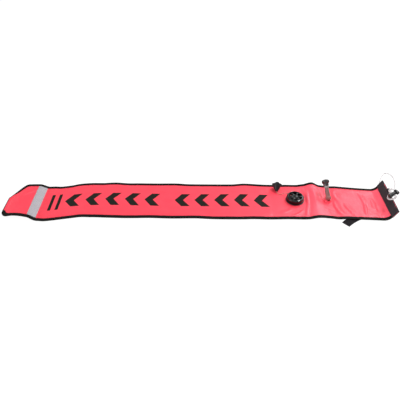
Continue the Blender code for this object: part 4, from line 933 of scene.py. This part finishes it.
# Pull cord and knob
# A thin braided cord leaves the side of the valve by a small port and ends in a knob of black plastic with four
# lobes, which a gloved hand finds easily. The knob lies on the cloth at the bag's far edge.
CORD_RADIUS = 0.0010
CORD_AZIMUTH = math.radians(138)
CORD_HEIGHT = 0.0091
DISC_RADIUS = 0.0120
KNOB_LENGTH = 0.027
KNOB_RADIUS = 0.0155
KNOB_NECK = 0.0042
KNOB_BORE_DEPTH = 0.010
KNOB_HOLLOW = 0.90  # height of the bottom of its hollow end, as a share of its length
# Sides of the knob as shares of a radius and of its length
KNOB_NECK_SIDE = ((0.80, 0), (1.02, 0.0008 / KNOB_LENGTH), (1.20, 0.10), (1.55, 0.22))
KNOB_CROWN_SIDE = ((0.67, 0.48), (0.90, 0.75), (1.0, 0.92), (0.88, 0.995), (0.66, 0.985), (0.42, 0.93))
KNOB_NOTCH = 0.22  # depth between the lobes, as a share of the radius
KNOB_DROP = 0.0016  # of the crown between them
KNOB_TIP = Vector((-0.0532, 0.0364, 0.0052))
KNOB_HEAD = Vector((-0.0498, 0.0609, 0.0164))
CORD_ROUTE = (  # from the foot of the valve
    (-0.0265, 0.0232, 0.0090), (-0.0310, 0.0252, 0.0058), (-0.0372, 0.0250, 0.0027), (-0.0440, 0.0252, 0.0020),
    (-0.0503, 0.0290, 0.0028),
)  # fmt: skip


def mended(obj, sharp):
    """Merges a piece's doubled points, turns its faces outwards and marks its sharp edges."""
    work = bmesh.new()
    work.from_mesh(obj.data)
    bmesh.ops.remove_doubles(work, verts=work.verts, dist=0.0000005)
    bmesh.ops.recalc_face_normals(work, faces=work.faces)
    work.to_mesh(obj.data)
    work.free()
    obj.data.shade_smooth()
    obj.data.set_sharp_from_angle(angle=math.radians(sharp))
    return obj


def round_cord(name, points, radius, look, sides):
    """A round cord along points, with a map of metres along it and turns round it. It is closed at its ends."""
    run = np.gradient(points, axis=0)
    run /= np.linalg.norm(run, axis=1)[:, None]
    side = np.cross(run[0], (0, 0, 1) if abs(run[0][2]) < 0.9 else (1, 0, 0))
    rows, places = [], []
    angles = np.linspace(0, 2 * math.pi, sides + 1)
    for point, way, far in zip(points, run, run_length(points)):
        side = side - way * side.dot(way)
        side /= np.linalg.norm(side)
        ring = np.cos(angles)[:, None] * side + np.sin(angles)[:, None] * np.cross(way, side)
        rows.append(point + radius * ring)
        places.append(np.stack([np.full(sides + 1, far), angles * radius], axis=1))
    last = (len(rows) - 1) * (sides + 1)
    faces = grid_faces(len(rows), sides + 1).tolist()
    faces += [list(range(sides)), list(range(last, last + sides))]
    return mended(mesh_piece(name, np.array(rows), faces, look, places), 60)


def braid(name, colour, other, radius, plaits, roughness):
    """A braided sleeve of polyester threads: soft and dull, with painted shade that darkens the hollows between
    each two plaits.
    """
    made = material(name, colour, roughness, Sheen_Weight=0.3, Specular_IOR_Level=0.35)
    add, cloth = partial(node, made.node_tree), on_cloth(made.node_tree)
    around = add("MULTIPLY", (cloth[1], plaits / radius))
    along = add("MULTIPLY", (cloth[0], 2 * math.pi / (radius * 2.2)))
    height = add("MAXIMUM", [add("SINE", (add(kind, (along, around)),)) for kind in ("ADD", "SUBTRACT")])
    # Painted shade: the low places between the plaits take the darker colour.
    share = add("MULTIPLY_ADD", (height, 0.5, 0.5))
    bump = add("ShaderNodeBump", {"Height": height, "Distance": radius * 0.12, "Strength": 0.6})
    dress(made, Base_Color=add("ShaderNodeMix", {0: share, 6: other, 7: colour}, **COLOURS), Normal=bump)
    return made


def lobed_knob():
    """The knob on its own axis: a neck that swells to a crown with four lobes and a hollow end."""
    neck = [(KNOB_NECK * r, KNOB_LENGTH * h) for r, h in KNOB_NECK_SIDE]
    crown = [(KNOB_RADIUS * r, KNOB_LENGTH * h) for r, h in KNOB_CROWN_SIDE]
    bore, hollow = CORD_RADIUS + GAP, KNOB_HOLLOW * KNOB_LENGTH
    profile = smooth_line([*neck, *crown, (0.0002, hollow)], 0.0009)
    closed = [(0, KNOB_BORE_DEPTH), (bore, KNOB_BORE_DEPTH), (bore, 0), *map(tuple, profile), (0, hollow)]
    knob = turned("lobed_knob", closed, dull_black, None, sides=96)
    spots = np.array([v.co for v in knob.data.vertices])
    share = ease(0.30, 0.88, spots[:, 2] / KNOB_LENGTH)
    swing = (1 - np.cos(4 * np.arctan2(spots[:, 1], spots[:, 0]))) / 2
    spots[:, :2] *= (1 - KNOB_NOTCH * share * swing**1.3)[:, None]
    reach = ease(0.3, 0.95, np.hypot(spots[:, 0], spots[:, 1]) / KNOB_RADIUS)
    spots[:, 2] -= KNOB_DROP * share * swing * reach
    knob.data.vertices.foreach_set("co", spots.ravel())
    return knob


out = Vector((math.cos(CORD_AZIMUTH), math.sin(CORD_AZIMUTH), 0))
start = out * (DISC_RADIUS + 2 * GAP) + Z * CORD_HEIGHT
leave = out * (CAP_RADIUS - GAP + 2 * CORD_RADIUS) + Z * CORD_HEIGHT
along = (KNOB_HEAD - KNOB_TIP).normalized()
inside = [KNOB_TIP + along * r for r in (-2 * CORD_RADIUS, 0, KNOB_BORE_DEPTH / 2, KNOB_BORE_DEPTH - GAP)]
port = [start.lerp(leave, k) for k in (0, 0.33, 0.67, 1)]
route = [VALVE + Vector(p) for p in (*port, *CORD_ROUTE, *inside)]
line = smooth_line(route, 0.0008)
# The second colour is the painted shade between the plaits.
cord_look = braid("red_braid", "#C98079", "#83443F", CORD_RADIUS, 4, 0.75)
pull_cord = round_cord("pull_line", line, CORD_RADIUS, cord_look, 14)
fitted(pull_cord, "pull", "pull_cord", "pull_cord")
knob = lobed_knob()
knob.data.transform(Matrix.Translation(VALVE + KNOB_TIP) @ along.to_track_quat("Z", "Y").to_matrix().to_4x4())
knob.data.update()
fitted(knob, "pull", "black_plastic", "pull_knob")

# Oral inflator, root and tube
# A rubber tube stands on a ball that turns in a socket of the same coral colour, welded to the cloth. A pale
# grey sleeve is pushed in its top and carries the mouthpiece.
TUBE_PIVOT = Vector((0.40885, 0.01271, 0.0136))
TUBE_TURN = Matrix.Rotation(math.radians(101), 4, "Z") @ Matrix.Rotation(math.radians(48), 4, "Y")
BALL_RADIUS = 0.0088
BALL_HEIGHT = 0.0106  # of the ball's middle above the foot
SOCKET_RIM = 0.0050
TUBE_RADIUS = 0.0065
TUBE_FLARE = 0.0074
TUBE_BORE = 0.0046
TUBE_LENGTH = 0.0330
SLEEVE_BORE = 0.0032
SLEEVE_DEPTH = 0.0110
COLLAR_RADIUS = 0.0068
COLLAR = 0.0012
SLEEVE_TOP = 0.0130
SLEEVE_RADIUS = 0.0056
STREAK = 0.00303
tube_place = Matrix.Translation(TUBE_PIVOT) @ TUBE_TURN
foot_place = Matrix.Translation(TUBE_PIVOT - Z * BALL_HEIGHT)
bowl = BALL_RADIUS + GAP
skirt = smooth_line([
    (SOCKET_RADIUS, 0.0001), (SOCKET_RADIUS - 0.0004, 0.0006), (bowl + 0.0022, 0.0019),
    (bowl + 0.0006, BALL_HEIGHT - SOCKET_RIM),
], 0.0006)  # fmt: skip
angles = np.linspace(math.asin(-SOCKET_RIM / bowl), -math.acos(TUBE_BORE / bowl), 12)
cup = [(bowl * math.cos(a), BALL_HEIGHT + bowl * math.sin(a)) for a in angles]
# Polyurethane, moulded and welded on: the cloth's coral without its weave, with a waxy shine. Its colour is
# a paler coral than the cloth's, as painted sheen.
socket_look = moulded("welded_polyurethane", "#FF5266", 0.48, 0.00125, 0.00003, **CORAL_GLOSS)
profile = [(TUBE_BORE, 0), (SOCKET_RADIUS, 0), *map(tuple, skirt), *cup]
fitted(turned("welded_socket", profile, socket_look, foot_place), "bag", "coral_cloth", "inflator_flange")


def smoke_rubber():
    """Moulded translucent silicone: smoky, with a reddish tint painted near the root for the light of the coral
    cloth shining through, and darker streaks along it from the mould, three millimetres apart."""
    made = material("smoky_silicone", "#8F8784", 0.30, Transmission_Weight=0.35, IOR=1.45)
    add = partial(node, made.node_tree)
    place = add("ShaderNodeTexCoord", out="Object")
    height = add("ShaderNodeSeparateXYZ", (place,)).node.outputs[2]
    # Painted reflection: reddish near the root, greyer higher up.
    share = add("ShaderNodeMapRange", {"Value": height, "From Min": 0.012, "From Max": 0.036})
    colour = add("ShaderNodeMix", {0: share, 6: "#C96A68", 7: "#A8857F"}, **COLOURS)
    upright = add("ShaderNodeMapping", {"Vector": place, "Rotation": TUBE_TURN.inverted().to_euler()})
    long = add("ShaderNodeMapping", {"Vector": upright, "Scale": (1, 1, 0.12)})
    streak = add("ShaderNodeTexNoise", {"Vector": long, "Scale": 1 / STREAK, "Detail": 2.0})
    dark = add("ShaderNodeMapRange", {"Value": streak, "From Min": 0.42, "From Max": 0.62, "To Max": 0.55})
    colour = add("ShaderNodeMix", {0: dark, 6: colour, 7: "#6E5553"}, **COLOURS)
    bump = add("ShaderNodeBump", {"Height": streak, "Distance": 0.0002, "Strength": 0.4})
    dress(made, Base_Color=colour, Normal=bump, Subsurface_Weight=0.15)
    return made


bottom = -math.sqrt(BALL_RADIUS**2 - TUBE_BORE**2)
join = math.acos(TUBE_FLARE / BALL_RADIUS)
ball = [(BALL_RADIUS * math.cos(a), BALL_RADIUS * math.sin(a))
        for a in np.linspace(-math.acos(TUBE_BORE / BALL_RADIUS), join, 20)]  # fmt: skip
upper = smooth_line([
    ball[-1], (TUBE_FLARE * 0.97, BALL_RADIUS), (TUBE_RADIUS * 1.04, TUBE_LENGTH * 0.55),
    (TUBE_RADIUS, TUBE_LENGTH * 0.8), (TUBE_RADIUS, TUBE_LENGTH - 0.0004), (TUBE_RADIUS - 0.0004, TUBE_LENGTH),
], 0.0012)  # fmt: skip
profile = [(TUBE_BORE, bottom), *ball[1:], *map(tuple, upper[1:]), (TUBE_BORE, TUBE_LENGTH)]
fitted(turned("rubber_tube", profile, smoke_rubber(), tube_place), "inflator", "smoke_tube", "inflator_tube")
seat, collar = TUBE_LENGTH - SLEEVE_DEPTH, TUBE_LENGTH + GAP
sleeve_top = collar + SLEEVE_TOP
# Moulded polypropylene: a flat, milky light grey
grey = moulded("grey_polypropylene", "#B4B2B4", 0.38, 0.00167, 0.00003)
sleeve = turned("valve_sleeve", eased([
    (SLEEVE_BORE, seat), (TUBE_BORE - GAP, seat), (TUBE_BORE - GAP, collar), (COLLAR_RADIUS, collar),
    (COLLAR_RADIUS, collar + COLLAR), (SLEEVE_RADIUS, collar + COLLAR), (SLEEVE_RADIUS, sleeve_top),
    (SLEEVE_BORE, sleeve_top),
], 0.0003), grey, tube_place)  # fmt: skip
fitted(sleeve, "inflator", "grey_plastic", "inflator_sleeve")

# Oral inflator, mouthpiece
# The diver presses the black mouthpiece down and blows. It slides on the sleeve with the stem and its washer,
# and a coil spring shuts it again. Flutes round its head give the lips a hold.
PUSH = 0.0035
MOUTH_RADIUS = 0.0120
MOUTH_HEIGHT = 0.0212
MOUTH_BORE = 0.0036
SPRING_ROOM = 0.0074
SPIDER = 0.0015
FLUTE = 0.085  # depth, as a share of the radius
MOUTH_OUTSIDE = (  # shares of its radius and height
    (0.67, 0), (0.70, 0.02), (0.72, 0.30), (0.80, 0.41), (0.95, 0.49), (1.0, 0.57), (1.0, 0.74), (0.95, 0.82),
    (0.82, 0.89), (0.56, 0.955), (0.36, 0.995),
)  # fmt: skip
mouth_foot = collar + COLLAR + GAP + PUSH
shoulder = sleeve_top + SPRING_ROOM + SPIDER + GAP
slide_bore, mouth_top = SLEEVE_RADIUS + GAP, mouth_foot + MOUTH_HEIGHT
outside = smooth_line([(MOUTH_RADIUS * r, mouth_foot + MOUTH_HEIGHT * h) for r, h in MOUTH_OUTSIDE], 0.0006)
closed = [(slide_bore, mouth_foot), *map(tuple, outside), (MOUTH_BORE, mouth_top - 0.0008),
          (MOUTH_BORE, shoulder), (slide_bore, shoulder)]  # fmt: skip
# Moulded thermoplastic rubber, glossy from use: a soft black with wide pale lights on its flutes
lip_black = moulded("glossy_elastomer", "#2A2527", 0.22, 0.00143, 0.00002, Specular_IOR_Level=0.65)
mouthpiece = turned("mouthpiece", closed, lip_black, None, sides=96, sharp=55)
spots = np.array([v.co for v in mouthpiece.data.vertices])
share = ease(MOUTH_RADIUS * 0.62, MOUTH_RADIUS * 0.95, np.hypot(spots[:, 0], spots[:, 1]))
swing = np.abs(np.sin(4 * np.arctan2(spots[:, 1], spots[:, 0])))
spots[:, :2] *= (1 - FLUTE * share * swing**1.3)[:, None]
mouthpiece.data.vertices.foreach_set("co", spots.ravel())
mouthpiece.data.transform(tube_place)
mouthpiece.data.update()
fitted(mouthpiece, "mouthpiece", "black_plastic", "inflator_mouthpiece")
fitted(merged_copy("inflator_stem", "valve_stem", dull_black), "mouthpiece", "black_plastic", "inflator_stem")
fitted(merged_copy("inflator_seal", "stem_washer", rubber), "mouthpiece", "black_rubber", "inflator_seal")
low, high = sleeve_top + GAP, sleeve_top + SPRING_ROOM - GAP
coil = wound_spring("mouth_coil", (0.0044, 0.0044), low, high, 3, tube_place, "inflator", "inflator_spring")
up, fixed = (TUBE_TURN.to_3x3() @ Z).normalized(), tube_place @ Vector((0, 0, low))
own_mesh(coil)

# Loop tab
# A short piece of webbing sewn into the mouth. Its folded top holds the two ends of the elastic.
TAB_T = 0.0185
TAB_WIDTH = 0.012
TAB = 0.0022
TAB_BULGE = (0.0050, 0.0030)
TAB_RISE = 0.0045
TAB_POCKET = 0.005
BULGE_X = 0.0009
lip = Vector(laid(0.0, TAB_T, (front_under(0.0, TAB_T) + back_over(0.0, TAB_T)) / 2))
lip_up = np.array([math.cos(CURL_ANGLE), math.sin(CURL_ANGLE)])
half = np.array([lip_up[1], -lip_up[0]]) * TAB / 2
arc = [(BULGE_X + TAB_BULGE[0] * math.cos(a), TAB_RISE + TAB_BULGE[1] * math.sin(a))
       for a in np.radians(np.linspace(-60, 240, 30))]  # fmt: skip
outline = np.array([
    -half - lip_up * TAB_DEPTH, half - lip_up * TAB_DEPTH, half + lip_up * GAP, *arc, -half + lip_up * GAP,
])  # fmt: skip
tab_sides = np.linspace(-TAB_WIDTH / 2, TAB_WIDTH / 2, 9)
rows = np.array([[(x + lip.x, lip.y + y, z + lip.z) for x, z in outline] for y in tab_sides])
count, wide = len(outline), len(tab_sides)
faces = [(j * count + i, j * count + (i + 1) % count, (j + 1) * count + (i + 1) % count, (j + 1) * count + i)
         for j in range(wide - 1) for i in range(count)]  # fmt: skip
faces += [list(range(count))[::-1], [(wide - 1) * count + i for i in range(count)]]
places = np.array([[(a, b) for a in run_length(outline)] for b in tab_sides])
fitted(mended(mesh_piece("tab", rows, faces, webbing, places), 50), "bag", "black_webbing", "loop_tab")

# Elastic loop
# A pale shock cord. It goes from the tab through the cord lock, lies on the ground in one open loop, and comes
# back through the lock to the tab. The lock and both strands hang over the mouth's outer side.
ELASTIC_RADIUS = 0.0016
STRAND_GAP = 0.0006
LOCK_EYE = Vector((0.0008, -0.0284, 0.0129))
LOCK_TURN = Matrix.Rotation(math.radians(28), 4, "Z") @ Matrix.Rotation(math.radians(79), 4, "Y")
LOCK_RADIUS = 0.0062
LOCK_AT_EYE = 0.0157
PAIR_IN = (  # middle of the two strands from the tab to the lock, in millimetres from the lip
    (0.9, -6.3, 4.5), (0.9, -11.5, 4.8), (-2.5, -19.0, 4.9), (-8.2, -25.5, 3.0), (-12.0, -32.8, 0.9),
    (-10.4, -39.6, 2.2), (-4.6, -43.4, 6.2), (2.2, -43.6, 10.4), (5.9, -38.6, 12.9),
)  # fmt: skip
PAIR_OUT = (  # and from the lock down towards the ground
    (-4.7, -17.5, 12.9), (-3.6, -11.5, 12.5), (1.5, -5.0, 11.4), (8.9, 2.5, 8.0), (17.9, 13.0, -0.8),
    (27.0, 24.5, -12.0),
)  # fmt: skip
LOOP = (  # the open loop on the ground, right strand first
    (37.0, 37.0, -23.5), (46.5, 51.0, -34.5), (55.5, 67.0, -39.6), (62.5, 85.0, -39.9), (67.0, 103.0, -39.9),
    (68.5, 121.0, -39.9), (64.5, 136.0, -39.9), (55.0, 144.0, -39.9), (43.0, 140.5, -39.9),
    (32.0, 126.5, -39.9), (22.0, 110.0, -39.9), (14.5, 97.0, -39.9), (11.5, 84.5, -39.9),
    (14.5, 72.0, -39.7), (21.5, 61.0, -38.0), (28.5, 50.0, -32.0), (31.5, 38.5, -23.0),
)  # fmt: skip


def strand(points, aside):
    """One strand of the pair: the middle line moved sideways."""
    moved = []
    for i, point in enumerate(points):
        way = points[min(i + 1, len(points) - 1)] - points[max(i - 1, 0)]
        moved.append(point + Vector((way.y, -way.x, 0)).normalized() * aside)
    return moved


lock_place = Matrix.Translation(lip + LOCK_EYE) @ LOCK_TURN @ Matrix.Translation((0, 0, -LOCK_AT_EYE))
edge, reach = -TAB_WIDTH / 2, LOCK_RADIUS + 2 * GAP
into, onward = [lock_place @ Vector((0, reach * k, LOCK_AT_EYE)) for k in (-1, 1)]
pair_in, pair_out, loop = ([lip + Vector(p) / 1000 for p in table] for table in (PAIR_IN, PAIR_OUT, LOOP))
halves = []
for aside in (ELASTIC_RADIUS + STRAND_GAP / 2, -ELASTIC_RADIUS - STRAND_GAP / 2):
    held = [lip + Vector((BULGE_X - aside, y, TAB_RISE)) for y in (edge + TAB_POCKET - GAP, edge, edge - GAP)]
    through = [lock_place @ Vector((0, reach * k, LOCK_AT_EYE + aside)) for k in (-1, -0.4, 0.4, 1)]
    arrive, depart = strand([*pair_in, into], aside), strand([onward, *pair_out], aside)
    halves.append(held + arrive[1:-1] + through + depart[1:])
route = halves[0] + loop + halves[1][::-1]
line = smooth_line(route, 0.0014)
# The second colour is the painted shade between the plaits.
elastic_look = braid("pale_braid", "#D8D2D3", "#A29C9D", ELASTIC_RADIUS, 5, 0.7)
elastic = round_cord("shock_cord", line, ELASTIC_RADIUS, elastic_look, 12)
fitted(elastic, "bag", "pale_elastic", "elastic_loop")

# Cord lock
# A ribbed barrel with a spring plunger in it. Both strands of the elastic pass through its cross hole, and the
# spring pinches them there until the thumb piece is pressed.
LOCK_FLOOR = 0.0020
LOCK_BORE = 0.0040
LOCK_TOP = 0.0215
LOCK_SEAT = 0.0106
LOCK_THUMB = 0.0268
LOCK_TRAVEL = 0.0050
RIB_DEPTH = 0.0006
RIBS = 4
THUMB = (0.0120, 0.0170, 0.0060)
PAIR = 0.0038


def cross_hole(obj, low, high):
    """Cuts the hole for the two strands across a piece that stands on its own axis."""
    sides = (2 * (ELASTIC_RADIUS + GAP), 2 * (LOCK_RADIUS + 0.002), high - low, 1)
    work = bmesh.new()
    place = Matrix.Translation(Z * (low + high) / 2) @ Matrix.Diagonal(sides)
    bmesh.ops.create_cube(work, size=1, matrix=place)
    tool = linked("hole", finished(work, "hole"))
    cut = obj.modifiers.new("cut", "BOOLEAN")
    cut.object, cut.solver = tool, "EXACT"
    run_nodes(obj)
    bpy.data.objects.remove(tool)
    return obj


def thumb_piece():
    """A rounded oblong block, from a circle that is pushed out towards its corners."""
    work = bmesh.new()
    bmesh.ops.create_circle(work, cap_ends=True, segments=64, radius=1)
    for vertex in work.verts:
        x, y = vertex.co.x, vertex.co.y
        square = 1 / (abs(x) ** 3 + abs(y) ** 3) ** (1 / 3)
        vertex.co = Vector((THUMB[0] / 2 * square * x, THUMB[1] / 2 * square * y, LOCK_THUMB))
    grown = bmesh.ops.extrude_face_region(work, geom=work.faces[:])["geom"]
    upper = [part for part in grown if isinstance(part, bmesh.types.BMVert)]
    bmesh.ops.translate(work, verts=upper, vec=Z * THUMB[2])
    bmesh.ops.recalc_face_normals(work, faces=work.faces)
    return softened(settled("thumb", finished(work, "thumb"), lock_black), 0.0008, 3, by_angle=True)


# Acetal from a lightly blasted mould: black with an even, satin shine
lock_black = moulded("satin_acetal", "#1B1B1C", 0.42, 0.00125, 0.00004)
step, slim = LOCK_TOP * 0.88 / RIBS, LOCK_RADIUS - RIB_DEPTH
ribs = []
for low in LOCK_TOP * 0.08 + step * np.arange(RIBS):
    ribs += [(slim, low), (LOCK_RADIUS, low + step * 0.25), (LOCK_RADIUS, low + step * 0.75)]
barrel = [(0, 0), (LOCK_RADIUS * 0.8, 0), *ribs, (slim, LOCK_TOP * 0.97), (slim, LOCK_TOP),
          (LOCK_BORE, LOCK_TOP), (LOCK_BORE, LOCK_FLOOR), (0, LOCK_FLOOR)]  # fmt: skip
eye_low, eye_high = LOCK_AT_EYE - PAIR, LOCK_AT_EYE + PAIR
ribbed = cross_hole(turned("barrel", eased(barrel, 0.0004), lock_black, None, 64), eye_low, eye_high)
lock_barrel = settled("lock_barrel", one_mesh("lock_barrel", [ribbed]), lock_black, lock_place, 40)
fitted(lock_barrel, "bag", "black_plastic", "lock_body")
shank, shank_top = LOCK_BORE - GAP, LOCK_THUMB + 0.001
pin = eased([(0, LOCK_SEAT), (shank, LOCK_SEAT), (shank, shank_top), (0, shank_top)], 0.0003)
pin = cross_hole(turned("plunger_pin", pin, lock_black, None, 48), eye_low, eye_high + LOCK_TRAVEL)
plunger = settled("lock_button_piece", one_mesh("plunger", [pin, thumb_piece()]), lock_black, lock_place, 35)
fitted(plunger, "lock_button", "black_plastic", "lock_plunger")
low, high = LOCK_FLOOR + GAP, LOCK_SEAT - GAP
lock_spring = wound_spring("lock_coil", (0.0026, 0.0026), low, high, 3, lock_place, "bag", "lock_spring")
up, fixed = (LOCK_TURN.to_3x3() @ Z).normalized(), lock_place @ Vector((0, 0, low))
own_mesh(lock_spring)

# Ground, light and camera
# A plain white studio floor in soft light from all round, a wide lamp behind on the right, whose gloss runs
# over the cloth near the mouth, and a small one that stands on the valve cap's rim. The camera looks down
# on the buoy as the photograph does.
SHOWN_WHITE = 0.82  # share of the floor's look that doesn't darken in shadow
FLOOR_GLOW = 1.12
FLOOR_REACH = 30.0
FLOOR_DROP = 0.0006
CAMERA = Vector((0.00685, -0.98414, 0.872))
CAMERA_PITCH = math.radians(41)
LENS = 37.8
LAMPS = (  # name, place, aim, sides, power
    ("overhead", (-0.3, -0.2, 1.9), (0, 0, 0), (1.8, 1.2), 2.5),
    ("back_right", (1.75, 1.6, 1.5), (0.5, 0, 0), (1.3, 1.0), 24.5),
    ("top_right", (0.94, 0.55, 1.54), (0.3, 0, 0), (0.20, 0.20), 15.5),
    ("left_fill", (-3.4, -1.6, 1.1), (0.6, 0, 0), (1.5, 1.0), 56.0),
)
WHITE = (1, 1, 1, 1)

# Painted studio board: matt white, which the camera sees as almost pure light
floor_look = bpy.data.materials.new("studio_board")
floor_look.use_nodes = True
floor_look.node_tree.nodes.clear()
add = partial(node, floor_look.node_tree)
rays = add("ShaderNodeLightPath").node.outputs
seen = add("MAXIMUM", (rays["Is Camera Ray"], rays["Is Glossy Ray"]))
seen = add("MAXIMUM", (seen, rays["Is Transmission Ray"]))
add("ShaderNodeOutputMaterial", (add("ShaderNodeMixShader", (
    add("MULTIPLY", (seen, SHOWN_WHITE)), add("ShaderNodeBsdfDiffuse", {"Color": "#F4F4F4"}),
    add("ShaderNodeEmission", {"Color": WHITE, "Strength": FLOOR_GLOW}),
)),))  # fmt: skip
floor_mesh = bpy.data.meshes.new("floor")
corners = [(FLOOR_REACH * x, FLOOR_REACH * y, 0) for x, y in ((-1, -1), (1, -1), (1, 1), (-1, 1))]
floor_mesh.from_pydata(corners, [], [(0, 1, 2, 3)])
floor_mesh.materials.append(floor_look)
floor = linked("floor", floor_mesh)
floor.location.z = -FLOOR_DROP

world = bpy.data.worlds.new("studio")
bpy.context.scene.world = world
world.use_nodes = True
world.node_tree.nodes.clear()
add = partial(node, world.node_tree)
seen = add("ShaderNodeLightPath", out="Is Camera Ray")
strength = add("ShaderNodeMapRange", {"Value": seen, "To Min": 0.62, "To Max": 1.0})
add("ShaderNodeOutputWorld", (add("ShaderNodeBackground", {"Color": WHITE, "Strength": strength}),))

for name, place, aim, sides, power in LAMPS:
    data = bpy.data.lights.new(name, "AREA")
    data.shape = "RECTANGLE"
    data.size, data.size_y = sides
    data.energy = power
    lamp = linked(name, data)
    lamp.location = place
    lamp.rotation_euler = (Vector(aim) - Vector(place)).to_track_quat("-Z", "Y").to_euler()

eye = bpy.data.cameras.new("camera")
eye.lens = LENS
eye.sensor_width = 36
camera = linked("camera", eye)
camera.location = CAMERA
camera.rotation_euler = (math.pi / 2 - CAMERA_PITCH, 0, 0)
bpy.context.scene.camera = camera
bpy.context.scene.view_settings.view_transform = "Standard"
